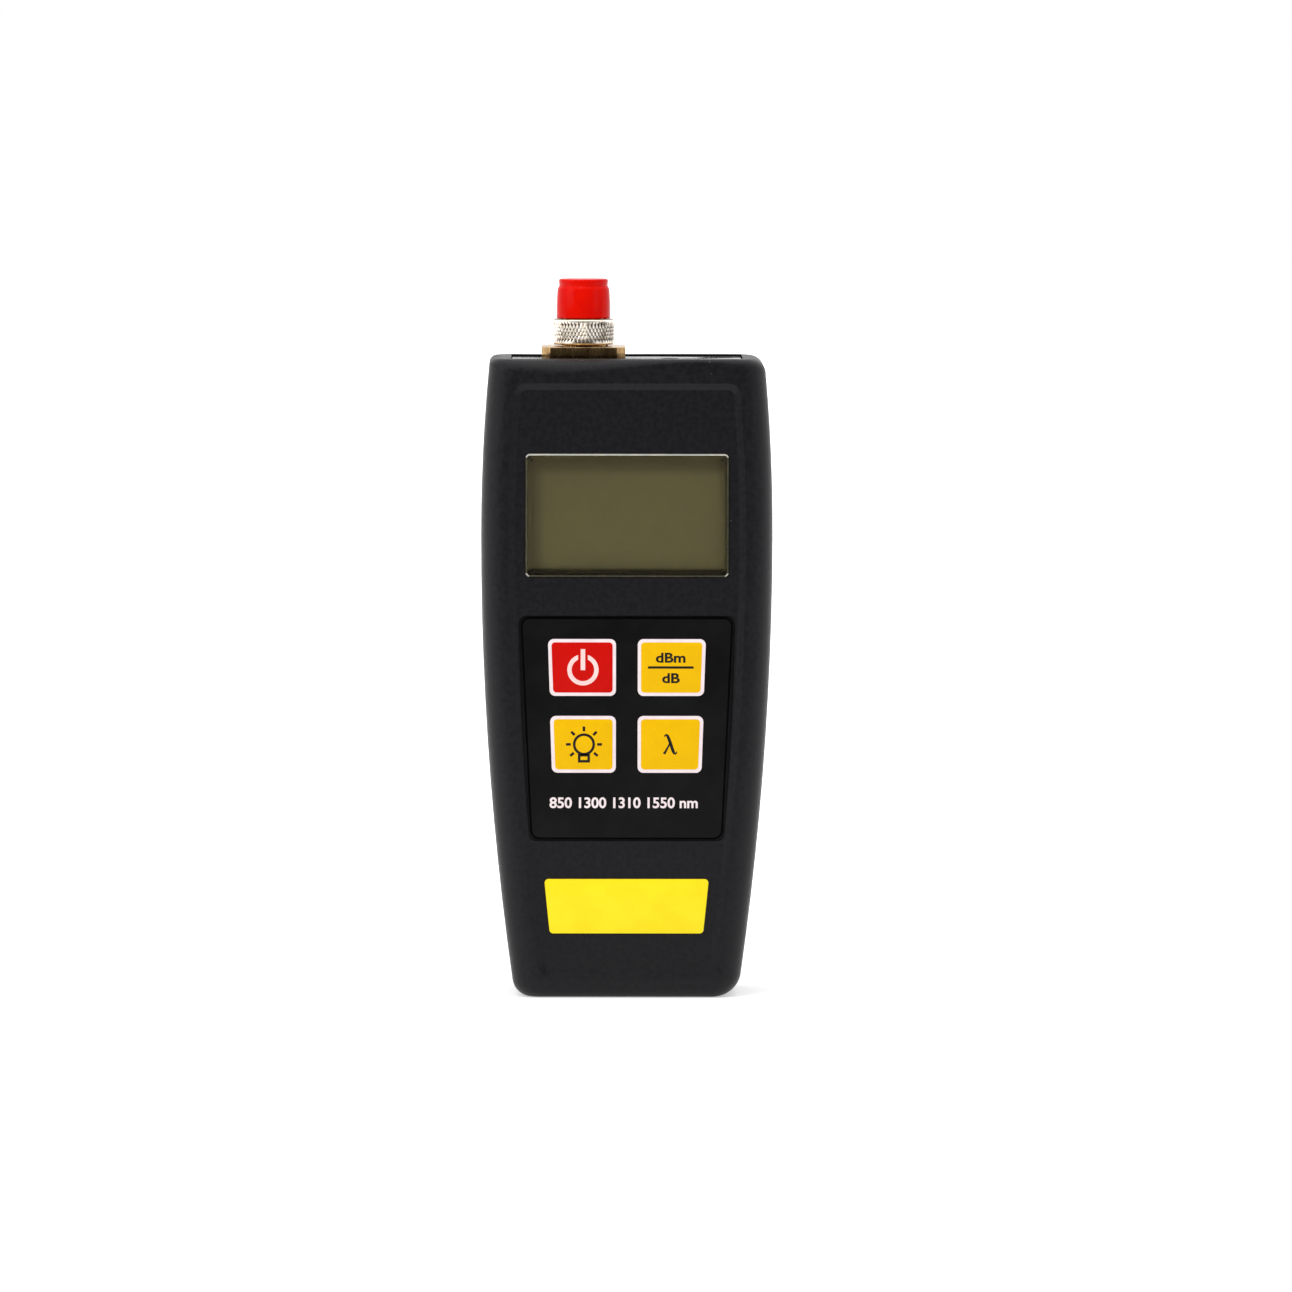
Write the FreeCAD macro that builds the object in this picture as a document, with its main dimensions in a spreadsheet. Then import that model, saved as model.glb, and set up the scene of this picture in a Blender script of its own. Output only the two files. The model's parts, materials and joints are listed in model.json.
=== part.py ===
"""Handheld optical power meter.

A tapered two-part case stands upright on its foot end.  The front shell has a shallow recessed field
with a display window, a four-key film pad and a plain name plate.  The top end plate carries the brass
receptacle of the photodiode, its screw-on fibre adapter with a dust cap, and the charging socket.  Two
AA cells lie in the rear shell behind a sliding door.

Millimetres.  +Z is up, -Y is the front, +X is to the right of the keys.  The origin is on the standing
plane, under the middle of the case.
"""
import FreeCAD, Part
import math
import os

import Sketcher
from FreeCAD import Placement, Rotation, Vector

# Driving dimensions: alias, value in millimetres (or a plain count), meaning.
SIZES = [
    ("case_width", 52.3, "widest part of the case"),
    ("foot_taper", 0.1176, "how far each side draws in at the standing plane, as a share of case_width"),
    ("top_taper", 0.0296, "how far each side draws in at the top, as a share of case_width"),
    ("case_height", 114.7, "standing plane to top of the case"),
    ("case_depth", 26.0, "front face to back face"),
    ("waist_height", 83.0, "height of the widest part"),
    ("side_wall", 2.0, "thickness of the case's side walls"),
    ("end_wall", 2.0, "thickness of the case's top and foot walls"),
    ("front_wall_share", 0.0923, "thickness of the front wall at its rim, as a share of case_depth"),
    ("back_wall_share", 0.077, "thickness of the back wall, as a share of case_depth"),
    ("side_edge_radius", 5.0, "rounding of the long edges"),
    ("top_edge_radius", 1.4, "rounding of the top edge at the front and back"),
    ("top_corner_radius", 2.7, "rounding of the top edge at the sides"),
    ("foot_edge_radius", 3.4, "rounding of the foot edge at the front and back"),
    ("foot_corner_radius", 4.8, "rounding of the foot edge at the sides"),
    ("cavity_edge_radius", 3.2, "rounding of the long edges inside"),
    ("cavity_foot_radius", 2.4, "rounding of the foot edge inside"),
    ("field_side_inset", 4.9, "case side to the recessed field's outer lip"),
    ("field_top_inset", 4.3, "case top to the field's outer lip"),
    ("field_foot_inset", 3.9, "standing plane to the field's outer lip"),
    ("field_slope", 1.2, "width of the field's sloping wall"),
    ("field_recess", 0.5, "depth of the field"),
    ("field_corner_radius", 1.0, "rounding of the corners of the field's floor"),
    ("window_side_inset", 7.95, "widest part of the case to the display window's side"),
    ("window_span", 22.1, "display window, along the case"),
    ("window_top_inset", 16.9, "case top to the window"),
    ("window_corner_radius", 0.8, "rounding of the window's corners"),
    ("window_thickness", 1.2, "lens"),
    ("window_rise", 0.1, "lens face above the field"),
    ("window_ledge", 1.0, "width of the ledge that the lens is glued to"),
    ("window_chamfer", 0.25, "lens edge"),
    ("seat_gap", 0.1, "clearance round a part that is set into another"),
    ("overlay_foot", 28.6, "height of the key film's lower edge"),
    ("overlay_top", 68.5, "height of the key film's upper edge"),
    ("overlay_foot_inset", 6.37, "case side to the key film, at its lower edge"),
    ("overlay_top_inset", 6.86, "case side to the key film, at its upper edge"),
    ("overlay_corner_radius", 1.4, "rounding of the key film's corners"),
    ("overlay_film", 0.4, "thickness of the key film"),
    ("overlay_recess", 0.5, "depth of the key film's recess"),
    ("overlay_gap", 0.3, "groove round the key film"),
    ("key_inner_place", 1.95, "centre line to a key's inner edge"),
    ("upper_key_inset", 12.0, "widest part of the case to an upper key's outer edge"),
    ("lower_key_inset", 12.4, "widest part of the case to a lower key's outer edge"),
    ("key_lean", 0.35, "how far a key's outer edge leans in at its foot"),
    ("key_span", 10.2, "key, along the case"),
    ("upper_key_foot", 54.4, "height of the upper keys' lower edge"),
    ("lower_key_foot", 40.6, "height of the lower keys' lower edge"),
    ("key_corner_radius", 1.05, "rounding of a key's corners"),
    ("key_rise", 0.15, "key face above the film"),
    ("key_gap", 0.1, "clearance round a key"),
    ("key_travel", 0.3, "stroke of a key"),
    ("key_stem_radius", 1.5, "stem behind a key"),
    ("stem_hole_radius", 2.1, "hole for the stem in the front wall"),
    ("plate_foot", 11.7, "height of the name plate's lower edge"),
    ("plate_top", 21.5, "height of the name plate's upper edge"),
    ("plate_foot_inset", 7.87, "case side to the name plate, at its lower edge"),
    ("plate_top_inset", 8.03, "case side to the name plate, at its upper edge"),
    ("plate_corner_radius", 0.7, "rounding of the name plate's corners"),
    ("plate_thickness", 0.2, "name plate"),
    ("board_gap_share", 0.1346, "front wall's inner face to the circuit board, as a share of case_depth"),
    ("board_thickness", 1.6, "circuit board"),
    ("board_side_inset", 4.4, "case side to the board's edge"),
    ("board_foot", 14.0, "height of the board's lower edge"),
    ("board_top_inset", 8.2, "case top to the board's upper edge"),
    ("board_screw_inset", 15.15, "widest part of the case to the board screws"),
    ("board_screw_low", 24.0, "height of the lower board screws"),
    ("board_screw_drop", 3.75, "holder of the display glass to the upper board screws"),
    ("board_post_radius", 2.2, "posts that the board sits on"),
    ("board_screw_radius", 0.95, "board screw's shank"),
    ("board_screw_bite", 0.9, "board screw's reach into the front wall"),
    ("board_screw_head_radius", 1.8, "board screw's head"),
    ("board_screw_head_height", 0.75, "board screw's flat head"),
    ("thread_gap", 0.05, "clearance of a screw's shank in its pilot hole"),
    ("glass_overlap", 1.8, "display glass past the window at each side"),
    ("glass_span", 25.2, "display glass, along the case"),
    ("glass_thickness", 1.9, "display glass with its two polarisers"),
    ("holder_wall", 1.0, "wall of the frame that holds the glass"),
    ("backlight_inset", 2.0, "display glass's side to the light guide and the contact strip"),
    ("backlight_foot_inset", 2.2, "display glass's lower edge to the light guide"),
    ("zebra_span", 1.4, "contact strip, along the case"),
    ("zebra_gap", 0.6, "contact strip to the light guide"),
    ("switch_side", 6.0, "tact switch, square"),
    ("switch_body_height", 2.3, "tact switch, without its plunger"),
    ("plunger_radius", 1.6, "tact switch's plunger"),
    ("controller_side", 10.0, "microcontroller package"),
    ("controller_height", 1.4, "microcontroller package"),
    ("controller_gap", 3.4, "crystal can to the microcontroller"),
    ("amplifier_width", 5.0, "amplifier package"),
    ("amplifier_span", 6.2, "amplifier package, along the case"),
    ("amplifier_height", 1.6, "amplifier package"),
    ("amplifier_gap", 6.0, "microcontroller to the amplifier"),
    ("crystal_width", 11.0, "crystal can"),
    ("crystal_span", 4.6, "crystal can, along the case"),
    ("crystal_height", 3.5, "crystal can"),
    ("crystal_gap", 4.5, "battery bay to the crystal can"),
    ("case_screw_inset", 7.35, "widest part of the case to the case screws"),
    ("case_screw_low", 67.0, "height of the lower case screws"),
    ("case_screw_top_inset", 9.9, "case top to the upper case screws"),
    ("case_screw_radius", 1.1, "case screw's shank"),
    ("case_screw_length", 15.5, "case screw under its head"),
    ("case_screw_head_radius", 2.0, "case screw's head"),
    ("case_screw_head_height", 1.7, "case screw's head"),
    ("case_screw_depth", 3.9, "back face to the seat of the screw's head"),
    ("case_post_radius", 2.4, "front shell's screw posts"),
    ("case_tube_radius", 3.5, "rear shell's screw tubes"),
    ("screw_head_gap", 0.25, "clearance round a screw's head"),
    ("shank_gap", 0.3, "clearance of a shank in the part that it clamps"),
    ("board_notch_gap", 0.9, "clearance of the case posts in the board's notches"),
    ("hook_place", 8.0, "foot hooks, from the centre line to their middle"),
    ("hook_width", 5.0, "foot hook"),
    ("hook_reach", 1.8, "foot hook past the parting plane"),
    ("hook_thickness", 1.2, "foot hook"),
    ("cell_length", 50.5, "AA cell with its button"),
    ("cell_button_radius", 2.75, "AA cell's positive button"),
    ("cell_button_height", 1.3, "AA cell's positive button"),
    ("cell_gap", 0.3, "clearance round a cell in its bay"),
    ("bay_foot", 6.2, "height of the bay's lower end, inside"),
    ("bay_wall", 1.2, "walls of the battery bay"),
    ("contact_height", 2.8, "sheet contact, base to crown"),
    ("contact_sheet", 0.4, "thickness of the contact sheet"),
    ("contact_width", 8.0, "sheet contact, front to back"),
    ("contact_side_gap", 1.2, "sheet contact's end to the side of its cell's bay"),
    ("contact_crown", 2.5, "sheet contact, half of the crown's length"),
    ("door_web", 0.4, "battery door's webs, beside the cells"),
    ("door_rail", 1.5, "how far the door's rails reach past its face"),
    ("door_rail_thickness", 0.8, "door's rails"),
    ("door_overlap", 1.1, "door's upper edge past the cells"),
    ("door_gap", 0.15, "clearance round the door"),
    ("door_tongue_width", 6.0, "tongue at the door's upper edge"),
    ("door_tongue_reach", 1.6, "tongue past the door's upper edge"),
    ("door_rib_span", 1.7, "rib that closes the foot wall's slot"),
    ("grip_width", 14.0, "ribbed thumb grip on the door"),
    ("grip_pitch", 1.8, "thumb grip's grooves"),
    ("grip_groove", 0.9, "width of a groove"),
    ("grip_sink", 0.5, "depth of a groove"),
    ("grip_drop", 13.6, "lowest groove below the door's upper edge"),
    ("grip_count", 5, "number of grooves"),
    ("panel_side_inset", 4.0, "case side at the top to the end panel"),
    ("panel_face_inset", 1.2, "front wall's inner face to the end panel"),
    ("panel_sink", 0.3, "end panel's face below the case top"),
    ("panel_lip", 0.6, "end panel's lip past its face"),
    ("panel_lip_thickness", 1.2, "end panel's lip"),
    ("panel_rib_reach", 1.4, "ribs that carry the lip"),
    ("panel_rib_thickness", 1.2, "ribs that carry the lip"),
    ("panel_rib_inset", 1.6, "end panel's side to the ribs that carry the lip"),
    ("port_place", -7.8, "fibre port's axis, from the centre line"),
    ("flange_side", 15.0, "receptacle's square flange"),
    ("flange_cut", 1.5, "flange's cut corners"),
    ("flange_thickness", 2.2, "flange"),
    ("boss_radius", 4.5, "threaded boss on the flange"),
    ("boss_height", 2.8, "threaded boss on the flange"),
    ("light_bore_radius", 1.5, "bore that lets the light in"),
    ("spigot_radius", 4.4, "threaded spigot through the end panel"),
    ("spigot_length", 7.4, "threaded spigot, under the flange"),
    ("diode_pocket_depth", 3.5, "pocket for the photodiode"),
    ("diode_radius", 2.35, "photodiode can"),
    ("diode_height", 3.0, "photodiode can"),
    ("diode_pin_radius", 0.25, "photodiode's legs"),
    ("diode_pin_length", 3.4, "photodiode's legs"),
    ("diode_pin_place", 1.27, "photodiode's legs, from its axis"),
    ("washer_thickness", 0.5, "lock washer"),
    ("washer_radius", 6.4, "lock washer"),
    ("nut_across_flats", 12.0, "panel nut"),
    ("nut_height", 2.4, "panel nut"),
    ("knurl_radius", 5.5, "coupling nut"),
    ("knurl_height", 4.6, "coupling nut"),
    ("knurl_clearance", 0.3, "flange to coupling nut"),
    ("knurl_chamfer", 0.35, "coupling nut's outer edges"),
    ("running_gap", 0.07, "radial clearance between parts that turn or slide"),
    ("barrel_radius", 4.0, "adapter's threaded barrel"),
    ("barrel_flange", 0.8, "flange that the coupling nut holds down"),
    ("barrel_height", 8.0, "threaded boss to the barrel's rim"),
    ("barrel_wall", 0.9, "barrel's outer wall"),
    ("sleeve_radius", 2.1, "sleeve in the middle of the barrel"),
    ("ferrule_radius", 1.26, "bore for the fibre's ferrule"),
    ("sleeve_drop", 0.9, "sleeve's end below the barrel's rim"),
    ("well_floor", 2.3, "annular well's floor above the barrel's flange"),
    ("keyway_width", 2.1, "slot for the fibre plug's key"),
    ("keyway_depth", 2.6, "slot for the fibre plug's key"),
    ("cap_seat", 0.1, "coupling nut to dust cap"),
    ("cap_height", 7.1, "dust cap"),
    ("cap_base_radius", 4.88, "dust cap, open end"),
    ("cap_shoulder_radius", 4.65, "dust cap, under its shoulder"),
    ("cap_neck_radius", 4.4, "dust cap, neck"),
    ("cap_rim_radius", 4.5, "dust cap, closed end"),
    ("cap_head", 1.1, "dust cap, shoulder to closed end"),
    ("cap_edge", 0.25, "dust cap's chamfers"),
    ("cap_roof", 1.0, "dust cap's closed end"),
    ("jack_place", 7.75, "charging socket's axis, from the centre line"),
    ("jack_depth_place", -1.2, "charging socket's axis, front to back"),
    ("jack_width", 6.4, "charging socket"),
    ("jack_length", 9.0, "charging socket"),
    ("jack_hole_radius", 1.7, "charging socket's bore"),
    ("jack_hole_depth", 7.5, "charging socket's bore"),
    ("jack_pin_radius", 0.6, "charging socket's pin"),
]

doc = FreeCAD.newDocument("OpticalPowerMeter")
sheet = doc.addObject("Spreadsheet::Sheet", "Sizes")
for row, (alias, number, meaning) in enumerate(SIZES, start=1):
    sheet.set(f"A{row}", meaning)
    sheet.set(f"B{row}", str(number))
    sheet.setAlias(f"B{row}", alias)
doc.recompute()


class Size:
    """A length that remembers the spreadsheet formula that gives it."""

    def __init__(self, number, formula=None):
        self.number = float(number)
        self.formula = formula or repr(float(number))

    def __float__(self):
        return self.number

    def __add__(self, other):
        other = as_size(other)
        return Size(self.number + other.number, f"({self.formula} + {other.formula})")

    def __sub__(self, other):
        other = as_size(other)
        return Size(self.number - other.number, f"({self.formula} - {other.formula})")

    def __mul__(self, other):
        other = as_size(other)
        return Size(self.number * other.number, f"({self.formula} * {other.formula})")

    def __truediv__(self, other):
        other = as_size(other)
        return Size(self.number / other.number, f"({self.formula} / {other.formula})")

    def __neg__(self):
        return Size(-self.number, f"(0 - {self.formula})")

    __radd__ = __add__
    __rmul__ = __mul__

    def __rsub__(self, other):
        return as_size(other) - self


def as_size(value):
    return value if isinstance(value, Size) else Size(value)


def root(value):
    return Size(math.sqrt(value.number), f"sqrt({value.formula})")


def cell(alias):
    return Size(sheet.get(alias), f"Sizes.{alias}")


S = {alias: cell(alias) for alias, _, _ in SIZES}
ZERO = Size(0)


# ---------------------------------------------------------------- document helpers

def bind(item, **values):
    """Bind properties to formulas; two underscores in a name stand for a dot."""
    for name, value in values.items():
        item.setExpression(name.replace("__", "."), as_size(value).formula)


def place(item, x=ZERO, y=ZERO, z=ZERO):
    bind(item, Placement__Base__x=x, Placement__Base__y=y, Placement__Base__z=z)


def block(name, x_low, x_high, y_low, y_high, z_low, z_high):
    """A box between two corners."""
    item = doc.addObject("Part::Box", name)
    low_x, low_y, low_z = as_size(x_low), as_size(y_low), as_size(z_low)
    bind(item, Length=x_high - low_x, Width=y_high - low_y, Height=z_high - low_z)
    place(item, low_x, low_y, low_z)
    return item


def rod_back(name, radius, x, z, y_low, y_high):
    """A cylinder along +Y from y_low to y_high."""
    item = doc.addObject("Part::Cylinder", name)
    item.Placement = Placement(Vector(), Rotation(Vector(1, 0, 0), -90))
    bind(item, Radius=radius, Height=y_high - y_low)
    place(item, x, y_low, z)
    return item


def rod_up(name, radius, x, y, z_low, z_high):
    """A cylinder along +Z from z_low to z_high."""
    item = doc.addObject("Part::Cylinder", name)
    bind(item, Radius=radius, Height=z_high - z_low)
    place(item, x, y, z_low)
    return item


def fuse(name, items):
    item = doc.addObject("Part::MultiFuse", name)
    item.Shapes = list(items)
    return item


def cut(name, base, tools):
    """The base less every tool."""
    tools = list(tools)
    item = doc.addObject("Part::Cut", name)
    item.Base = base
    item.Tool = tools[0] if len(tools) == 1 else fuse(name + "_tools", tools)
    return item


def common(name, items):
    item = doc.addObject("Part::MultiCommon", name)
    item.Shapes = list(items)
    return item


class Arc:
    """One side of an outline that is an arc: its radius and the way it bulges (+1 right, -1 left)."""

    def __init__(self, radius, bulge):
        self.radius = radius
        self.bulge = bulge

    def middle(self, start, end):
        """The point halfway along the arc, from the chord's middle and the arc's rise."""
        chord_x, chord_z = float(end[0]) - float(start[0]), float(end[1]) - float(start[1])
        half = math.hypot(chord_x, chord_z) / 2
        rise = float(self.radius) - math.sqrt(float(self.radius) ** 2 - half ** 2)
        normal = Vector(abs(chord_z), -chord_x * math.copysign(1, chord_z), 0).normalize()
        centre = Vector(float(start[0]) + float(end[0]), float(start[1]) + float(end[1]), 0) / 2
        return centre + normal * (rise * self.bulge)


def draw(sketch, corners, arcs=None):
    """Draw a closed outline and tie every corner to the sheet.

    corners: list of (across, along) sizes; arcs: side number to Arc, for the sides that aren't straight.
    """
    arcs = arcs or {}
    count = len(corners)
    first = sketch.GeometryCount
    for side in range(count):
        start, end = corners[side], corners[(side + 1) % count]
        start_point = Vector(float(start[0]), float(start[1]), 0)
        end_point = Vector(float(end[0]), float(end[1]), 0)
        if side in arcs:
            sketch.addGeometry(Part.Arc(start_point, arcs[side].middle(start, end), end_point))
        else:
            sketch.addGeometry(Part.LineSegment(start_point, end_point))
    ends = [end_numbers(sketch, first + side, corners[side]) for side in range(count)]
    for side in range(count):
        following = (side + 1) % count
        sketch.addConstraint(Sketcher.Constraint(
            "Coincident", first + side, ends[side][1], first + following, ends[following][0]))
        for kind, value in (("DistanceX", corners[side][0]), ("DistanceY", corners[side][1])):
            number = sketch.addConstraint(Sketcher.Constraint(
                kind, -1, 1, first + side, ends[side][0], float(value)))
            sketch.setExpression(f"Constraints[{number}]", as_size(value).formula)
    for side, arc in arcs.items():
        number = sketch.addConstraint(Sketcher.Constraint("Radius", first + side, float(arc.radius)))
        sketch.setExpression(f"Constraints[{number}]", as_size(arc.radius).formula)


def end_numbers(sketch, geometry, start):
    """The numbers of a side's first and last end: an arc drawn clockwise keeps them the other way round."""
    point = sketch.getPoint(geometry, 1)
    near = math.hypot(point.x - float(start[0]), point.y - float(start[1])) < 1e-6
    return (1, 2) if near else (2, 1)


def new_body(name):
    return doc.addObject("PartDesign::Body", name)


def new_sketch(body, role, offset, name):
    """A sketch on one of the body's own origin planes, moved along the plane's normal."""
    sketch = body.newObject("Sketcher::SketchObject", name)
    plane = [item for item in body.Origin.OriginFeatures if item.Role == role][0]
    sketch.AttachmentSupport = [(plane, "")]
    sketch.MapMode = "FlatFace"
    sketch.setExpression("AttachmentOffset.Base.z", as_size(offset).formula)
    return sketch


def pad(body, sketch, length, backwards=False):
    feature = body.newObject("PartDesign::Pad", body.Name + "_pad")
    feature.Profile = sketch
    feature.Reversed = backwards
    bind(feature, Length=length)
    sketch.Visibility = False
    return feature


def plate_front(name, corners, y_front, y_back, arcs=None, corner_radius=None):
    """A plate that faces the front, with its outline in X and Z and its upright corners rounded."""
    body = new_body(name)
    sketch = new_sketch(body, "XZ_Plane", -y_back, name + "_outline")
    draw(sketch, corners, arcs)
    pad(body, sketch, y_back - y_front)
    if corner_radius is not None:
        round_edges(body, corner_radius, along_depth)
    return body


def round_edges(body, radius, wanted):
    """Round the edges of the body's last feature that the test picks."""
    doc.recompute()
    base = body.Tip
    names = [f"Edge{number}" for number, edge in enumerate(base.Shape.Edges, start=1) if wanted(edge)]
    feature = body.newObject("PartDesign::Fillet", body.Name + "_rounding")
    feature.Base = (base, names)
    bind(feature, Radius=radius)
    return feature


def bevel_edges(body, size, wanted):
    """Chamfer the edges of the body's last feature that the test picks."""
    doc.recompute()
    base = body.Tip
    names = [f"Edge{number}" for number, edge in enumerate(base.Shape.Edges, start=1) if wanted(edge)]
    feature = body.newObject("PartDesign::Chamfer", body.Name + "_bevel")
    feature.Base = (base, names)
    bind(feature, Size=size)
    return feature


def turned(name, profile, x, y):
    """A part turned about the vertical axis through x, y; the profile is (radius, height) pairs."""
    body = new_body(name)
    sketch = new_sketch(body, "XZ_Plane", ZERO, name + "_profile")
    draw(sketch, profile)
    feature = body.newObject("PartDesign::Revolution", name + "_turn")
    feature.Profile = sketch
    feature.ReferenceAxis = (sketch, ["V_Axis"])
    feature.Angle = 360
    sketch.Visibility = False
    place(body, x, y)
    return body


def along_depth(edge):
    """Whether an edge is straight and runs front to back."""
    box = edge.BoundBox
    return box.XLength < 1e-5 and box.ZLength < 1e-5 and box.YLength > 1e-5


def at_depth(value):
    """A test for edges that lie at one place front to back."""
    def lies_there(edge):
        box = edge.BoundBox
        return abs(box.YMin - float(value)) < 1e-4 and abs(box.YMax - float(value)) < 1e-4
    return lies_there


def mirrored(values):
    """Each value and its mirror image."""
    return [sign * value for value in values for sign in (-1, 1)]


# ---------------------------------------------------------------- levels and places

half_width = S["case_width"] / 2
half_depth = S["case_depth"] / 2
case_height = S["case_height"]
waist_height = S["waist_height"]

# Each side is two arcs that meet at the waist, where both run straight up.
foot_narrowing = S["case_width"] * S["foot_taper"]
top_narrowing = S["case_width"] * S["top_taper"]
above_waist = case_height - waist_height
lower_radius = (waist_height * waist_height + foot_narrowing * foot_narrowing) / (foot_narrowing * 2)
upper_radius = (above_waist * above_waist + top_narrowing * top_narrowing) / (top_narrowing * 2)

front_wall = S["case_depth"] * S["front_wall_share"]
back_wall = S["case_depth"] * S["back_wall_share"]
board_gap = S["case_depth"] * S["board_gap_share"]
board_screw_length = S["board_thickness"] + board_gap + S["board_screw_bite"]

rim_y = -half_depth
field_y = rim_y + S["field_recess"]
overlay_seat_y = field_y + S["overlay_recess"]
overlay_face_y = overlay_seat_y - S["overlay_film"]
key_face_y = overlay_face_y - S["key_rise"]
well_y = overlay_seat_y + S["key_travel"] + S["seat_gap"] / 2
inner_y = rim_y + front_wall
board_y = inner_y + board_gap
board_back_y = board_y + S["board_thickness"]
back_y = half_depth
back_inner_y = back_y - back_wall
foot_inner_z = S["end_wall"]
top_inner_z = case_height - S["end_wall"]


def side_at(height):
    """Half of the case's width at a height."""
    radius = lower_radius if float(height) <= float(waist_height) else upper_radius
    drop = height - waist_height
    return half_width - radius + root(radius * radius - drop * drop)


def case_outline(inset, z_low, z_high):
    """The case's front outline, moved in by inset: corners and the arcs of its sides."""
    low, waist, high = side_at(z_low) - inset, half_width - inset, side_at(z_high) - inset
    corners = [(low, z_low), (waist, waist_height), (high, z_high),
               (-high, z_high), (-waist, waist_height), (-low, z_low)]
    arcs = {0: Arc(lower_radius, 1), 1: Arc(upper_radius, 1),
            3: Arc(upper_radius, -1), 4: Arc(lower_radius, -1)}
    return corners, arcs


def tapered_outline(foot_inset, top_inset, z_low, z_high, grow=ZERO):
    """A front outline whose sides follow the case's lower arcs, each corner set in from the case side."""
    low, high = side_at(z_low) - foot_inset + grow, side_at(z_high) - top_inset + grow
    corners = [(low, z_low - grow), (high, z_high + grow), (-high, z_high + grow), (-low, z_low - grow)]
    arcs = {0: Arc(lower_radius, 1), 2: Arc(lower_radius, -1)}
    return corners, arcs


def box_outline(x_half, z_low, z_high):
    return [(x_half, z_low), (x_half, z_high), (-x_half, z_high), (-x_half, z_low)]


# ---------------------------------------------------------------- case form

def is_long_edge(edge):
    """Whether an edge runs the case's length on its front or back face."""
    box = edge.BoundBox
    return box.ZLength > 20 and box.YLength < 1e-5 and box.YMin * box.YMin > 1e-6


def case_form(name, front):
    """Half of the case's outer form, solid, with every outer edge rounded."""
    corners, arcs = case_outline(ZERO, ZERO, case_height)
    body = new_body(name + "_block")
    sketch = new_sketch(body, "XZ_Plane", ZERO, name + "_outline")
    draw(sketch, corners, arcs)
    pad(body, sketch, half_depth, backwards=not front)
    round_edges(body, S["side_edge_radius"], is_long_edge)
    doc.recompute()
    form = doc.addObject("Part::Fillet", name)
    form.Base = body
    ends = end_edges(body.Shape, case_height, S["top_edge_radius"], S["top_corner_radius"])
    ends += end_edges(body.Shape, ZERO, S["foot_edge_radius"], S["foot_corner_radius"])
    form.Edges = ends
    return form


def end_edges(shape, height, edge_radius, corner_radius):
    """The edges round one end with their start and end radii: the corners blend one into the other."""
    picked = []
    for number, edge in enumerate(shape.Edges, start=1):
        box = edge.BoundBox
        in_plane = abs(box.ZMin - float(height)) < 1e-4 and abs(box.ZMax - float(height)) < 1e-4
        on_parting_plane = abs(box.YMin) < 1e-4 and abs(box.YMax) < 1e-4
        if not in_plane or on_parting_plane:
            continue
        start, end = edge.valueAt(edge.FirstParameter), edge.valueAt(edge.LastParameter)
        if abs(start.y - end.y) < 1e-4:
            radii = (float(edge_radius), float(edge_radius))
        elif abs(start.x - end.x) < float(S["side_edge_radius"]) / 2:
            radii = (float(corner_radius), float(corner_radius))
        elif abs(start.y) > abs(end.y):
            radii = (float(edge_radius), float(corner_radius))
        else:
            radii = (float(corner_radius), float(edge_radius))
        picked.append((number,) + radii)
    return picked


def case_cavity(name, front, depth, grow=ZERO):
    """The hollow of half of the case, or a larger copy of it that reaches into the walls."""
    foot_z = foot_inner_z - grow
    corners, arcs = case_outline(S["side_wall"] - grow, foot_z, top_inner_z + grow)
    body = new_body(name)
    sketch = new_sketch(body, "XZ_Plane", ZERO, name + "_outline")
    draw(sketch, corners, arcs)
    pad(body, sketch, depth + grow, backwards=not front)
    round_edges(body, S["cavity_edge_radius"] + grow, is_long_edge)

    def is_foot_edge(edge):
        box = edge.BoundBox
        flat = abs(box.ZMin - float(foot_z)) < 1e-4 and abs(box.ZMax - float(foot_z)) < 1e-4
        return flat and abs(box.YMin + box.YMax) > 1e-3
    round_edges(body, S["cavity_foot_radius"] + grow, is_foot_edge)
    return body


# ---------------------------------------------------------------- front shell

window_half = half_width - S["window_side_inset"]
window_foot = case_height - S["window_top_inset"] - S["window_span"]
window_middle_z = window_foot + S["window_span"] / 2
glass_front_y = inner_y + S["seat_gap"]
glass_back_y = glass_front_y + S["glass_thickness"]
glass_foot = window_middle_z - S["glass_span"] / 2
glass_top = window_middle_z + S["glass_span"] / 2
glass_half = window_half + S["glass_overlap"]


def key_outer(upper):
    """A key's outer edge, from the centre line."""
    return half_width - (S["upper_key_inset"] if upper else S["lower_key_inset"])


def key_corners(side, upper, grow=ZERO):
    """A key's outline: its outer edge leans in towards the foot, as the case does."""
    inner = S["key_inner_place"] - grow
    outer = key_outer(upper) + grow
    z_low = (S["upper_key_foot"] if upper else S["lower_key_foot"]) - grow
    z_high = z_low + S["key_span"] + grow * 2
    corners = [(inner, z_low), (outer - S["key_lean"], z_low), (outer, z_high), (inner, z_high)]
    return corners if side > 0 else [(-x, z) for x, z in reversed(corners)]


def key_middle(side, upper):
    """The middle of a key, where its stem and switch are."""
    z_low = S["upper_key_foot"] if upper else S["lower_key_foot"]
    across = (S["key_inner_place"] + key_outer(upper)) / 2
    return side * across, z_low + S["key_span"] / 2


KEYS = {"power": (-1, True), "unit": (1, True), "backlight": (-1, False), "wavelength": (1, False)}

board_screw_high = glass_foot - S["holder_wall"] - S["board_screw_drop"]
case_screw_high = case_height - S["case_screw_top_inset"]
board_screws_at = [(x, z) for z in (S["board_screw_low"], board_screw_high)
                   for x in mirrored([half_width - S["board_screw_inset"]])]
case_screws_at = [(x, z) for z in (S["case_screw_low"], case_screw_high)
                  for x in mirrored([half_width - S["case_screw_inset"]])]


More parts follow.
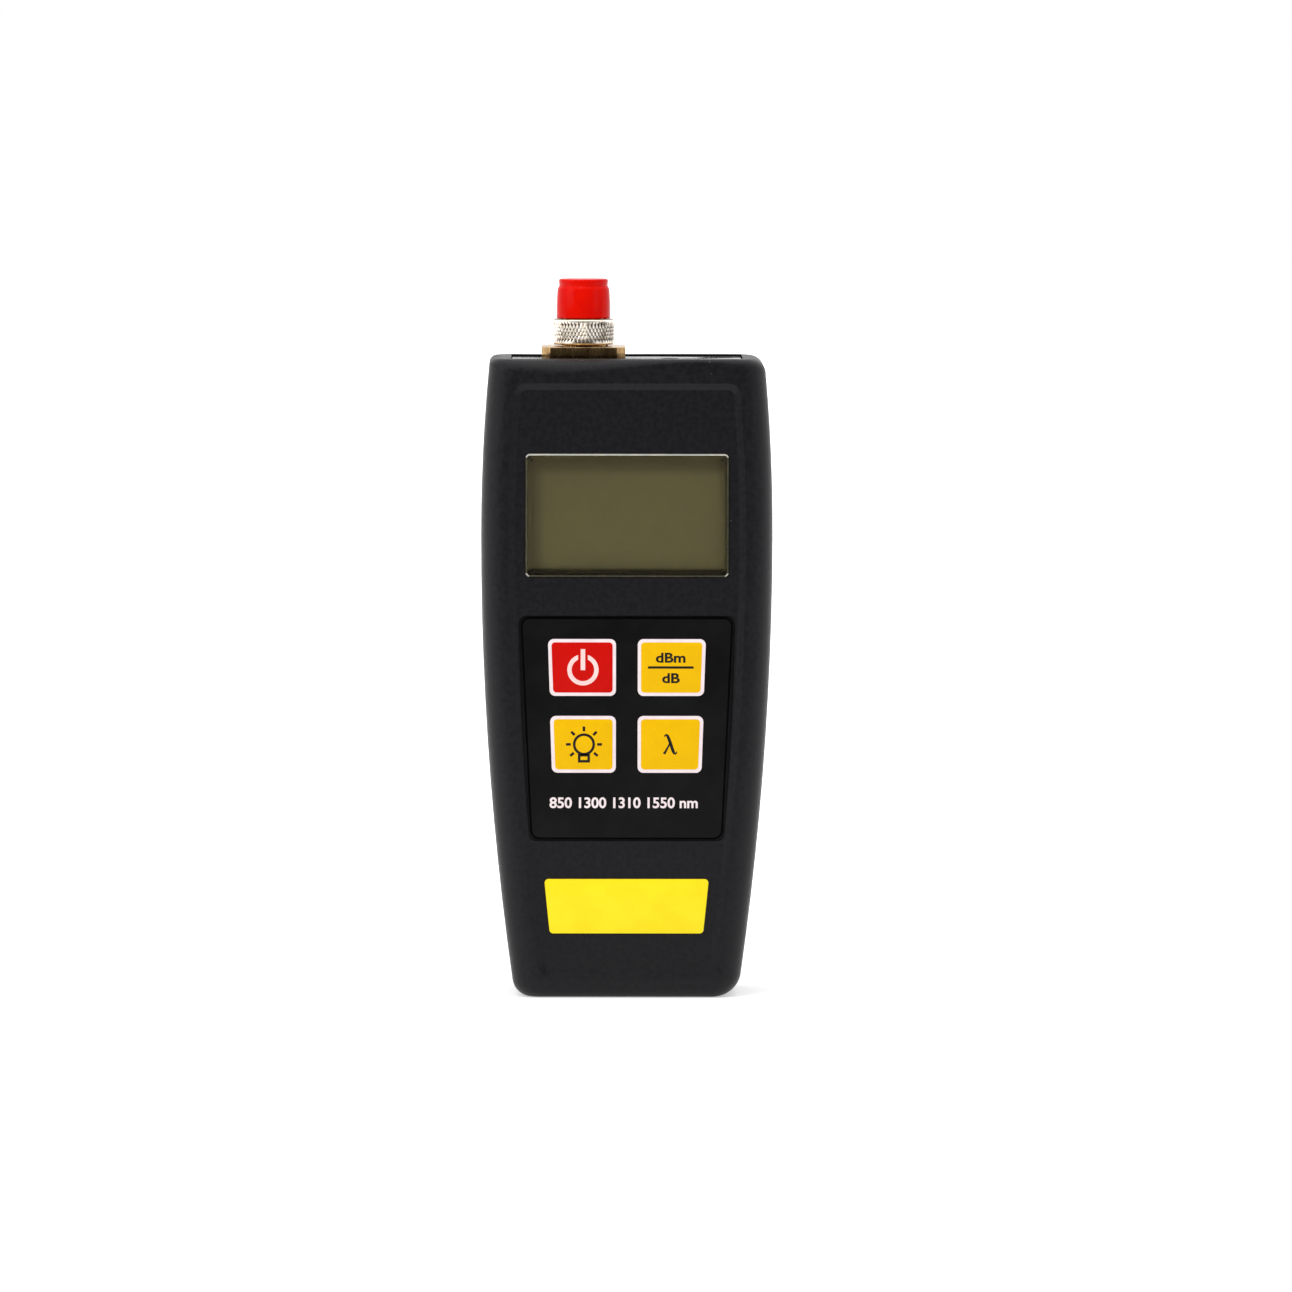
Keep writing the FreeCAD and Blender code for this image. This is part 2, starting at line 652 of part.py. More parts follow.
def rounded_wire(name, y, inset, z_low, z_high, radius):
    """A front outline with round corners: drawn smaller by the radius, then offset outwards."""
    corners, arcs = case_outline(inset + radius, z_low + radius, z_high - radius)
    sketch = doc.addObject("Sketcher::SketchObject", name + "_outline")
    sketch.Placement = Placement(Vector(), Rotation(Vector(1, 0, 0), 90))
    place(sketch, y=y)
    draw(sketch, corners, arcs)
    wire = doc.addObject("Part::Offset2D", name)
    wire.Source = sketch
    wire.Join = "Arc"
    bind(wire, Value=radius)
    return wire


def field_tool():
    """The recessed field: a loft from the outer lip to the smaller inner crease."""
    slope, crease_radius = S["field_slope"], S["field_corner_radius"]
    lip = rounded_wire("field_lip", rim_y, S["field_side_inset"], S["field_foot_inset"],
                       case_height - S["field_top_inset"], crease_radius + slope)
    crease = rounded_wire("field_crease", field_y, S["field_side_inset"] + slope,
                          S["field_foot_inset"] + slope, case_height - S["field_top_inset"] - slope,
                          crease_radius)
    loft = doc.addObject("Part::Loft", "field_tool")
    loft.Sections = [lip, crease]
    loft.Solid = True
    loft.Ruled = True
    return loft


def window_corners(grow):
    return box_outline(window_half + grow, window_foot - grow,
                       window_foot + S["window_span"] + grow)


panel_half_width = half_width - top_narrowing - S["panel_side_inset"]
panel_half_depth = -inner_y - S["panel_face_inset"]


def panel_opening(name):
    """Tool for the opening of the end panel's face in the case top."""
    grow = S["door_gap"]
    return block(name, -(panel_half_width + grow), panel_half_width + grow,
                 -(panel_half_depth + grow), panel_half_depth + grow,
                 top_inner_z - S["end_wall"] / 4, case_height + S["end_wall"])


def panel_rib(name, front):
    """A rib along the wall that the end panel's lip rests on."""
    top = panel_lip_z - S["seat_gap"]
    half = panel_half_width - S["panel_rib_inset"]
    if front:
        return block(name, -half, half, inner_y - front_wall / 2, inner_y + S["panel_rib_reach"],
                     top - S["panel_rib_thickness"], top)
    return block(name, -half, half, back_inner_y - S["panel_rib_reach"], back_inner_y + back_wall / 2,
                 top - S["panel_rib_thickness"], top)


panel_top_z = case_height - S["panel_sink"]
panel_lip_top_z = top_inner_z - S["seat_gap"]
panel_lip_z = panel_lip_top_z - S["panel_lip_thickness"]


def build_front_shell():
    wall = cut("front_wall_shell", case_form("front_form", True),
               [case_cavity("front_cavity", True, -inner_y)])
    posts = [rod_back(f"board_post_{number}", S["board_post_radius"], x, z,
                      inner_y - front_wall / 2, board_y)
             for number, (x, z) in enumerate(board_screws_at)]
    posts += [rod_back(f"case_post_{number}", S["case_post_radius"], x, z,
                       inner_y - front_wall / 2, ZERO)
              for number, (x, z) in enumerate(case_screws_at)]
    hooks = []
    for number, x in enumerate(mirrored([S["hook_place"]])):
        low = foot_inner_z + S["seat_gap"]
        hooks.append(block(f"foot_hook_{number}", x - S["hook_width"] / 2, x + S["hook_width"] / 2,
                           -S["hook_reach"] * 1.5, S["hook_reach"], low, low + S["hook_thickness"]))
        hooks.append(block(f"foot_hook_root_{number}", x - S["hook_width"] / 2, x + S["hook_width"] / 2,
                           -S["hook_reach"] * 1.5, -S["hook_reach"] / 2, foot_inner_z / 2, low))
    solid = fuse("front_shell_solid", [wall, panel_rib("front_panel_rib", True)] + posts + hooks)

    corners, arcs = tapered_outline(S["overlay_foot_inset"], S["overlay_top_inset"], S["overlay_foot"],
                                    S["overlay_top"], S["overlay_gap"])
    tools = [field_tool(), panel_opening("front_panel_opening")]
    tools.append(plate_front("overlay_pocket", corners, rim_y, overlay_seat_y, arcs,
                             S["overlay_corner_radius"]))
    lens_back_y = field_y - S["window_rise"] + S["window_thickness"]
    tools.append(plate_front("window_pocket", window_corners(S["seat_gap"]), rim_y, lens_back_y, None,
                             S["window_corner_radius"]))
    tools.append(plate_front("window_opening", window_corners(-S["window_ledge"]), rim_y,
                             inner_y + front_wall / 2, None, S["window_corner_radius"]))
    for name, (side, upper) in KEYS.items():
        tools.append(plate_front(f"{name}_well", key_corners(side, upper, S["overlay_gap"]),
                                 field_y, well_y, None, S["key_corner_radius"]))
        x, z = key_middle(side, upper)
        tools.append(rod_back(f"{name}_stem_hole", S["stem_hole_radius"], x, z,
                              rim_y, inner_y + front_wall / 2))
    for number, (x, z) in enumerate(board_screws_at):
        tools.append(rod_back(f"board_pilot_{number}", S["board_screw_radius"] + S["thread_gap"], x, z,
                              board_back_y - board_screw_length - S["seat_gap"] * 3, board_y * 0.9))
    seat_y = back_y - S["case_screw_depth"]
    for number, (x, z) in enumerate(case_screws_at):
        tools.append(rod_back(f"case_pilot_{number}", S["case_screw_radius"] + S["thread_gap"], x, z,
                              seat_y - S["case_screw_length"] - S["seat_gap"] * 5, S["hook_reach"]))
    return cut("front_shell", solid, tools)


# ---------------------------------------------------------------- rear shell, bay and door

# The cells take all the depth between the back wall and the heads of the board's screws.
cell_back_y = back_inner_y - S["seat_gap"]
bay_floor_y = board_back_y + S["board_screw_head_height"] + S["seat_gap"] + S["bay_wall"]
cell_radius = (cell_back_y - bay_floor_y - S["cell_gap"] / 2) / 2
cell_y = cell_back_y - cell_radius
cell_across = cell_radius + S["cell_gap"]
bay_half = cell_across * 2
bay_top_z = S["bay_foot"] + S["contact_height"] * 2 + S["cell_length"]
rail_back_y = back_inner_y - S["seat_gap"]
rail_front_y = rail_back_y - S["door_rail_thickness"]
shelf_y = rail_front_y - S["seat_gap"]
door_half = bay_half + S["door_web"]
door_top = bay_top_z - S["contact_height"] + S["door_overlap"]
rail_half = door_half + S["door_rail"]
channel_half = rail_half + S["door_gap"]
bay_outer = channel_half + S["bay_wall"]


def build_rear_shell(form):
    """The back of the case: a walled battery bay, the door's rails and the screw tubes."""
    wall = cut("rear_wall_shell", form, [case_cavity("rear_cavity", False, back_inner_y)])
    low_z = S["bay_foot"] - S["bay_wall"]
    high_z = bay_top_z + S["bay_wall"]
    outer_y = back_inner_y + back_wall / 4
    floor_y = bay_floor_y - S["bay_wall"]
    shelf_front_y = shelf_y - S["bay_wall"]
    bay_side = bay_half + S["bay_wall"]
    bay_ribs = [
        block("bay_floor", -bay_side, bay_side, floor_y, bay_floor_y, low_z, high_z),
        block("bay_foot_wall", -bay_side, bay_side, floor_y, shelf_y, low_z, S["bay_foot"]),
        block("bay_top_wall", -bay_side, bay_side, floor_y, outer_y, bay_top_z, high_z),
        block("rail_end_wall", -bay_outer, bay_outer, shelf_front_y, outer_y, bay_top_z, high_z),
        block("bay_left_wall", -bay_side, -bay_half, floor_y, shelf_y, low_z, high_z),
        block("bay_right_wall", bay_half, bay_side, floor_y, shelf_y, low_z, high_z),
    ]
    rail_foot = foot_inner_z / 2
    rail_ribs = [
        block("left_shelf", -bay_outer, -bay_half, shelf_front_y, shelf_y, rail_foot, high_z),
        block("right_shelf", bay_half, bay_outer, shelf_front_y, shelf_y, rail_foot, high_z),
        block("left_guide", -bay_outer, -channel_half, shelf_front_y, outer_y, rail_foot, high_z),
        block("right_guide", channel_half, bay_outer, shelf_front_y, outer_y, rail_foot, high_z),
    ]
    limit = case_cavity("rail_limit", False, back_inner_y, S["side_wall"] * 0.4)
    rails = common("rails_in_form", [limit, fuse("rail_ribs", rail_ribs)])
    tubes = [rod_back(f"case_tube_{number}", S["case_tube_radius"], x, z, ZERO, outer_y)
             for number, (x, z) in enumerate(case_screws_at)]
    solid = fuse("rear_shell_solid", [wall, rails, panel_rib("rear_panel_rib", False)] + bay_ribs + tubes)

    gap = S["door_gap"]
    past = back_wall
    tools = [
        block("door_opening", -(door_half + gap), door_half + gap,
              back_inner_y, back_y + past, -past, door_top + gap),
        block("rail_channel", -channel_half, channel_half, shelf_y, back_inner_y, -past, bay_top_z),
        panel_opening("rear_panel_opening"),
    ]
    seat_y = back_y - S["case_screw_depth"]
    for number, (x, z) in enumerate(case_screws_at):
        tools.append(rod_back(f"head_pocket_{number}", S["case_screw_head_radius"] + S["screw_head_gap"],
                              x, z, seat_y, back_y + past))
        tools.append(rod_back(f"shank_hole_{number}", S["case_screw_radius"] + S["shank_gap"],
                              x, z, -past, seat_y + past / 2))
    return cut("rear_shell", solid, tools)


def build_battery_door(form):
    """The sliding door: the back face's own form, with rails, a tongue and a thumb grip."""
    half = door_half
    low = -back_wall
    inner_half = bay_half
    parts = [block("door_face", -half, half, back_inner_y, back_y + back_wall, low, door_top)]
    for side, sign in (("left", -1), ("right", 1)):
        near, edge, far = inner_half, half, rail_half
        rail = (near, far) if sign > 0 else (-far, -near)
        web = (near, edge) if sign > 0 else (-edge, -near)
        parts.append(block(f"door_{side}_rail", rail[0], rail[1], rail_front_y, rail_back_y,
                           low, door_top))
        parts.append(block(f"door_{side}_web", web[0], web[1], rail_front_y,
                           back_inner_y + back_wall / 4, low, door_top))
    tongue_half = S["door_tongue_width"] / 2
    tongue_top = door_top + S["door_tongue_reach"]
    parts.append(block("door_tongue", -tongue_half, tongue_half, rail_front_y, rail_back_y,
                       door_top - S["door_tongue_reach"], tongue_top))
    parts.append(block("door_tongue_root", -tongue_half, tongue_half, rail_front_y,
                       back_inner_y + back_wall / 4,
                       door_top - S["door_tongue_reach"] / 2, door_top))
    parts.append(block("door_rib", -inner_half - S["cell_gap"], inner_half + S["cell_gap"], rail_front_y,
                       back_inner_y + back_wall / 4, low, S["door_rib_span"]))
    shape = common("door_form", [form, fuse("door_parts", parts)])
    grooves = []
    for number in range(int(float(S["grip_count"]))):
        z = door_top - S["grip_drop"] + S["grip_pitch"] * number
        grooves.append(block(f"grip_groove_{number}", -S["grip_width"] / 2, S["grip_width"] / 2,
                             back_y - S["grip_sink"], back_y + S["grip_sink"], z, z + S["grip_groove"]))
    return cut("battery_door", shape, grooves)


def build_cell(name, side, upright):
    """An AA cell: a plain can with its positive button."""
    radius, button = cell_radius, S["cell_button_radius"]
    low = S["bay_foot"] + S["contact_height"]
    high = low + S["cell_length"]
    if upright:
        profile = [(ZERO, low), (radius, low), (radius, high - S["cell_button_height"]),
                   (button, high - S["cell_button_height"]), (button, high), (ZERO, high)]
    else:
        profile = [(ZERO, low), (button, low), (button, low + S["cell_button_height"]),
                   (radius, low + S["cell_button_height"]), (radius, high), (ZERO, high)]
    return turned(name, profile, side * cell_across, cell_y)


def crowned_strip(name, middles, base_z, up):
    """A bent sheet contact along the bay's end wall, with one crown for each cell that it touches."""
    sheet_size, rise = S["contact_sheet"], S["contact_height"]
    foot, crown = cell_across - S["contact_side_gap"], S["contact_crown"]
    ramp = crown + rise / 2
    outer, inner = [], []
    for middle in middles:
        outer += [(middle - ramp - sheet_size / 2, sheet_size), (middle - crown, rise),
                  (middle + crown, rise), (middle + ramp + sheet_size / 2, sheet_size)]
        inner += [(middle - ramp, ZERO), (middle - crown + sheet_size / 2, rise - sheet_size),
                  (middle + crown - sheet_size / 2, rise - sheet_size), (middle + ramp, ZERO)]
    first, last = middles[0] - foot, middles[-1] + foot
    path = [(first, sheet_size)] + outer + [(last, sheet_size), (last, ZERO)] + inner[::-1] + [(first, ZERO)]
    corners = [(x, base_z + height if up else base_z - height) for x, height in path]
    half = S["contact_width"] / 2
    return plate_front(name, corners, cell_y - half, cell_y + half)


# ---------------------------------------------------------------- front details

def build_keypad_overlay():
    corners, arcs = tapered_outline(S["overlay_foot_inset"], S["overlay_top_inset"], S["overlay_foot"],
                                    S["overlay_top"])
    film = plate_front("overlay_sheet", corners, overlay_face_y, overlay_seat_y, arcs,
                       S["overlay_corner_radius"])
    windows = [plate_front(f"{name}_window", key_corners(side, upper, S["key_gap"]),
                           rim_y, inner_y, None, S["key_corner_radius"])
               for name, (side, upper) in KEYS.items()]
    return cut("keypad_overlay", film, windows)


def build_key(name, side, upper):
    """A key: its raised face and the stem that reaches its switch."""
    face = plate_front(f"{name}_key_face", key_corners(side, upper), key_face_y, overlay_seat_y, None,
                       S["key_corner_radius"])
    x, z = key_middle(side, upper)
    stem = rod_back(f"{name}_key_stem", S["key_stem_radius"], x, z, key_face_y + S["key_rise"],
                    plunger_y)
    return fuse(f"{name}_key", [face, stem])


switch_front_y = board_y - S["switch_body_height"]
plunger_y = switch_front_y - S["key_travel"] - S["seat_gap"] * 4


def build_switch(name, side, upper):
    x, z = key_middle(side, upper)
    half = S["switch_side"] / 2
    base = block(f"{name}_switch_base", x - half, x + half, switch_front_y, board_y, z - half, z + half)
    hole = rod_back(f"{name}_switch_hole", S["plunger_radius"] + S["running_gap"], x, z,
                    switch_front_y - S["seat_gap"], board_y - S["switch_body_height"] / 3)
    switch = cut(f"{name}_switch", base, [hole])
    plunger = rod_back(f"{name}_plunger", S["plunger_radius"], x, z, plunger_y,
                       switch_front_y + S["switch_body_height"] / 3)
    return switch, plunger


def build_display_window():
    lens = plate_front("display_window", window_corners(ZERO), field_y - S["window_rise"],
                       field_y - S["window_rise"] + S["window_thickness"], None,
                       S["window_corner_radius"])
    bevel_edges(lens, S["window_chamfer"], at_depth(field_y - S["window_rise"]))
    return lens


def build_display_stack():
    half = glass_half
    lcd = block("lcd_glass", -half, half, glass_front_y, glass_back_y, glass_foot, glass_top)
    gap, wall_size = S["seat_gap"], S["holder_wall"]
    outer = block("holder_block", -(half + wall_size), half + wall_size, glass_front_y, board_y,
                  glass_foot - wall_size, glass_top + wall_size)
    inner = block("holder_hollow", -(half + gap), half + gap, glass_front_y - gap, board_y + gap,
                  glass_foot - gap, glass_top + gap)
    holder = cut("lcd_holder", outer, [inner])
    light_half = glass_half - S["backlight_inset"]
    strip_top = glass_top - gap * 2
    strip_foot = strip_top - S["zebra_span"]
    light = block("backlight_panel", -light_half, light_half, glass_back_y, board_y,
                  glass_foot + S["backlight_foot_inset"], strip_foot - S["zebra_gap"])
    strip = block("zebra_strip", -light_half, light_half, glass_back_y, board_y, strip_foot, strip_top)
    return lcd, holder, light, strip


def build_main_board():
    corners, arcs = case_outline(S["board_side_inset"], S["board_foot"],
                                 case_height - S["board_top_inset"])
    board = plate_front("board_sheet", corners, board_y, board_back_y, arcs)
    holes = [rod_back(f"board_hole_{number}", S["board_screw_radius"] + S["shank_gap"], x, z,
                      inner_y, ZERO) for number, (x, z) in enumerate(board_screws_at)]
    holes += [rod_back(f"board_clearance_{number}", S["case_post_radius"] + S["board_notch_gap"], x, z,
                       inner_y, ZERO) for number, (x, z) in enumerate(case_screws_at)]
    return cut("main_board", board, holes)


def build_chips():
    """The crystal can, the microcontroller and the amplifier, one above another over the battery bay."""
    crystal_foot = bay_top_z + S["bay_wall"] + S["crystal_gap"]
    half = S["crystal_width"] / 2
    crystal_top = crystal_foot + S["crystal_span"]
    crystal = block("crystal_can", -half, half, board_back_y, board_back_y + S["crystal_height"],
                    crystal_foot, crystal_top)
    side = S["controller_side"]
    controller_foot = crystal_top + S["controller_gap"]
    controller = block("microcontroller", -side / 2, side / 2, board_back_y,
                       board_back_y + S["controller_height"], controller_foot, controller_foot + side)
    amplifier_foot = controller_foot + side + S["amplifier_gap"]
    amplifier = block("amplifier_chip", S["port_place"], S["port_place"] + S["amplifier_width"],
                      board_back_y, board_back_y + S["amplifier_height"], amplifier_foot,
                      amplifier_foot + S["amplifier_span"])
    return crystal, controller, amplifier


def build_board_screws():
    screws = []
    for number, (x, z) in enumerate(board_screws_at):
        shank = rod_back(f"board_shank_{number}", S["board_screw_radius"], x, z,
                         board_back_y - board_screw_length,
                         board_back_y + S["board_screw_head_height"] / 2)
        head = rod_back(f"board_head_{number}", S["board_screw_head_radius"], x, z, board_back_y,
                        board_back_y + S["board_screw_head_height"])
        screws += [shank, head]
    return fuse("board_screws", screws)


def build_case_screws():
    seat_y = back_y - S["case_screw_depth"]
    screws = []
    for number, (x, z) in enumerate(case_screws_at):
        shank = rod_back(f"case_shank_{number}", S["case_screw_radius"], x, z,
                         seat_y - S["case_screw_length"], seat_y + S["case_screw_head_height"] / 2)
        head = rod_back(f"case_head_{number}", S["case_screw_head_radius"], x, z, seat_y,
                        seat_y + S["case_screw_head_height"])
        screws += [shank, head]
    return fuse("case_screws", screws)


# ---------------------------------------------------------------- top end: panel, port and socket

port_x = S["port_place"]
flange_top_z = panel_top_z + S["flange_thickness"]
boss_top_z = flange_top_z + S["boss_height"]
knurl_foot_z = flange_top_z + S["knurl_clearance"]
knurl_top_z = knurl_foot_z + S["knurl_height"]
barrel_flange_top_z = boss_top_z + S["barrel_flange"]
barrel_top = boss_top_z + S["barrel_height"]
washer_top_z = panel_lip_z
nut_top_z = washer_top_z - S["washer_thickness"]


def build_end_panel():
    face = block("panel_face", -panel_half_width, panel_half_width,
                 -panel_half_depth, panel_half_depth, panel_lip_z, panel_top_z)
    lip_x = panel_half_width + S["panel_lip"]
    lip_y = panel_half_depth + S["panel_lip"]
    lip = block("panel_lip_plate", -lip_x, lip_x, -lip_y, lip_y, panel_lip_z, panel_lip_top_z)
    holes = [
        rod_up("spigot_hole", S["spigot_radius"] + S["seat_gap"], port_x, ZERO,
               panel_lip_z - S["end_wall"], case_height),
        rod_up("socket_hole", S["jack_hole_radius"], S["jack_place"], S["jack_depth_place"],
               panel_lip_z - S["end_wall"], case_height),
    ]
    return cut("end_panel", fuse("panel_plate", [face, lip]), holes)


def build_receptacle():
    """The brass receptacle: square flange with cut corners, threaded boss above, spigot below."""
    half, corner = S["flange_side"] / 2, S["flange_side"] / 2 - S["flange_cut"]
    body = new_body("receptacle_flange")
    sketch = new_sketch(body, "XY_Plane", panel_top_z, "flange_outline")
    draw(sketch, [(half, -corner), (half, corner), (corner, half), (-corner, half),
                  (-half, corner), (-half, -corner), (-corner, -half), (corner, -half)])
    pad(body, sketch, S["flange_thickness"])
    place(body, port_x)
    spigot_foot = panel_top_z - S["spigot_length"]
    boss = rod_up("receptacle_boss", S["boss_radius"], port_x, ZERO, panel_top_z, boss_top_z)
    spigot = rod_up("receptacle_spigot", S["spigot_radius"], port_x, ZERO, spigot_foot, flange_top_z)
    light = rod_up("light_bore", S["light_bore_radius"], port_x, ZERO, spigot_foot, case_height * 2)
    pocket = rod_up("diode_pocket", S["diode_radius"] + S["seat_gap"], port_x, ZERO,
                    spigot_foot - S["end_wall"], spigot_foot + S["diode_pocket_depth"])
    return cut("detector_receptacle", fuse("receptacle_solid", [body, boss, spigot]), [light, pocket])


def build_photodiode():
    foot = panel_top_z - S["spigot_length"] + S["diode_pocket_depth"] - S["diode_height"]
    parts = [rod_up("diode_can", S["diode_radius"], port_x, ZERO, foot, foot + S["diode_height"])]
    for number, turn in enumerate((90, 210, 330)):
        x = port_x + S["diode_pin_place"] * math.cos(math.radians(turn))
        y = S["diode_pin_place"] * math.sin(math.radians(turn))
        parts.append(rod_up(f"diode_pin_{number}", S["diode_pin_radius"], x, y,
                            foot - S["diode_pin_length"], foot + S["diode_height"] / 2))
    return fuse("photodiode", parts)


def build_panel_fasteners():
    bore = S["spigot_radius"] + S["thread_gap"]
    washer = turned("lock_washer", [(bore, nut_top_z), (S["washer_radius"], nut_top_z),
                                    (S["washer_radius"], washer_top_z), (bore, washer_top_z)],
                    port_x, ZERO)
    nut = new_body("nut_hexagon")
    sketch = new_sketch(nut, "XY_Plane", nut_top_z - S["nut_height"], "nut_outline")
    circumradius = S["nut_across_flats"] / math.sqrt(3)
    draw(sketch, [(circumradius * math.cos(math.radians(turn)), circumradius * math.sin(math.radians(turn)))
                  for turn in range(0, 360, 60)])
    pad(nut, sketch, S["nut_height"])
    place(nut, port_x)
    hole = rod_up("nut_hole", bore, port_x, ZERO, nut_top_z - S["nut_height"] * 2, panel_top_z)
    return washer, cut("panel_nut", nut, [hole])


def build_adapter():
    """The screw-on fibre adapter: barrel with its sleeve and keyway, and the knurled coupling nut."""
    outer, wall_size = S["barrel_radius"], S["barrel_wall"]
    rim, sleeve_end = barrel_top, barrel_top - S["sleeve_drop"]
    floor = barrel_flange_top_z + S["well_floor"]
    barrel = turned("barrel_turning", [
        (S["ferrule_radius"], boss_top_z), (S["boss_radius"], boss_top_z),
        (S["boss_radius"], barrel_flange_top_z), (outer, barrel_flange_top_z), (outer, rim),
        (outer - wall_size, rim), (outer - wall_size, floor), (S["sleeve_radius"], floor),
        (S["sleeve_radius"], sleeve_end), (S["ferrule_radius"], sleeve_end)], port_x, ZERO)
    half = S["keyway_width"] / 2
    keyway = block("keyway", port_x - half, port_x + half, -outer - wall_size, -S["sleeve_radius"],
                   rim - S["keyway_depth"], rim + wall_size)
    bevel, gap = S["knurl_chamfer"], S["running_gap"]
    radius = S["knurl_radius"]
    lip_z = barrel_flange_top_z + gap
    nut = turned("coupling_nut", [
        (S["boss_radius"] + gap, knurl_foot_z), (radius - bevel, knurl_foot_z),
        (radius, knurl_foot_z + bevel), (radius, knurl_top_z - bevel), (radius - bevel, knurl_top_z),
        (outer + gap, knurl_top_z), (outer + gap, lip_z), (S["boss_radius"] + gap, lip_z)], port_x, ZERO)
    return cut("adapter_barrel", barrel, [keyway]), nut


def build_dust_cap():
    base = knurl_top_z + S["cap_seat"]
    top = base + S["cap_height"]
    shoulder = top - S["cap_head"]
    edge = S["cap_edge"]
    inside = S["barrel_radius"] + S["thread_gap"]
    return turned("dust_cap", [
        (inside, base), (S["cap_base_radius"], base), (S["cap_shoulder_radius"], shoulder - edge),
        (S["cap_neck_radius"], shoulder), (S["cap_neck_radius"], shoulder + edge * 1.5),
        (S["cap_rim_radius"], shoulder + edge * 2.5), (S["cap_rim_radius"], top - edge),
        (S["cap_rim_radius"] - edge, top), (ZERO, top), (ZERO, top - S["cap_roof"]),
        (inside, top - S["cap_roof"])], port_x, ZERO)


def build_dc_jack():
    x, y = S["jack_place"], S["jack_depth_place"]
    half = S["jack_width"] / 2
    top = panel_lip_z
    foot = top - S["jack_length"]
    body = block("jack_body", x - half, x + half, board_back_y, y + half, foot, top)
    bore = rod_up("jack_bore", S["jack_hole_radius"], x, y, top - S["jack_hole_depth"], top + S["end_wall"])
    pin = rod_up("jack_pin", S["jack_pin_radius"], x, y, foot + S["end_wall"] / 2, top)
    return fuse("dc_jack", [cut("jack_shell", body, [bore]), pin])


# ---------------------------------------------------------------- assembly

def build_all():
    """Build every sub-part; the result is node name to document object."""
    nodes = {"front_shell": build_front_shell()}
    rear_form = case_form("rear_form", False)
    nodes["rear_shell"] = build_rear_shell(rear_form)
    nodes["battery_door"] = build_battery_door(rear_form)
    nodes["end_panel"] = build_end_panel()
    nodes["display_window"] = build_display_window()
    nodes["keypad_overlay"] = build_keypad_overlay()
    corners, arcs = tapered_outline(S["plate_foot_inset"], S["plate_top_inset"], S["plate_foot"],
                                    S["plate_top"])
    nodes["name_label"] = plate_front("name_label", corners, field_y - S["plate_thickness"], field_y,
                                      arcs, S["plate_corner_radius"])
    for name, (side, upper) in KEYS.items():
        nodes[f"{name}_key"] = build_key(name, side, upper)
        nodes[f"{name}_switch"], nodes[f"{name}_plunger"] = build_switch(name, side, upper)
    (nodes["lcd_glass"], nodes["lcd_holder"], nodes["backlight_panel"],
     nodes["zebra_strip"]) = build_display_stack()
    nodes["main_board"] = build_main_board()
    nodes["board_screws"] = build_board_screws()
    nodes["case_screws"] = build_case_screws()
    nodes["crystal_can"], nodes["microcontroller"], nodes["amplifier_chip"] = build_chips()
    nodes["left_cell"] = build_cell("left_cell", -1, True)
    nodes["right_cell"] = build_cell("right_cell", 1, False)
    nodes["cell_bridge"] = crowned_strip("cell_bridge", [-cell_across, cell_across], S["bay_foot"], True)
    nodes["positive_contact"] = crowned_strip("positive_contact", [-cell_across], bay_top_z, False)
    nodes["negative_contact"] = crowned_strip("negative_contact", [cell_across], bay_top_z, False)
    nodes["detector_receptacle"] = build_receptacle()
    nodes["photodiode"] = build_photodiode()
    nodes["lock_washer"], nodes["panel_nut"] = build_panel_fasteners()
    nodes["adapter_barrel"], nodes["coupling_nut"] = build_adapter()
    nodes["dust_cap"] = build_dust_cap()
    nodes["dc_jack"] = build_dc_jack()
    return nodes


def check(nodes):
    """Stop if anything in the document failed or a sub-part is empty or invalid."""
    for item in doc.Objects:
        if "Invalid" in item.State or "Error" in item.State:
            raise RuntimeError(f"{item.Label} failed: {item.State}")
    for name, item in nodes.items():
        if item.Shape.isNull() or not item.Shape.isValid() or not item.Shape.Solids:
            raise RuntimeError(f"{name} has no valid solid")


def export(nodes):
    os.makedirs("parts", exist_ok=True)
    for name, item in nodes.items():
        item.Label = name
        item.Shape.exportStep(os.path.join("parts", f"{name}.step"))
        print(f"{name}: {len(item.Shape.Solids)} solid(s), {item.Shape.Volume:.1f} mm3")


sub_parts = build_all()
doc.recompute()
check(sub_parts)
export(sub_parts)
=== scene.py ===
"""Looks of a handheld optical power meter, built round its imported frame.

Every sub-assembly is a class with its sizes in millimetres; every finish is a small frozen class that
builds one node material.  New pieces are shaped with mesh operators and ride on the frame's bodies.
"""

import json
import logging
import math
from dataclasses import dataclass, field
from enum import Enum
from typing import Callable, Sequence

import bmesh
import bpy
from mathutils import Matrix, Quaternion, Vector

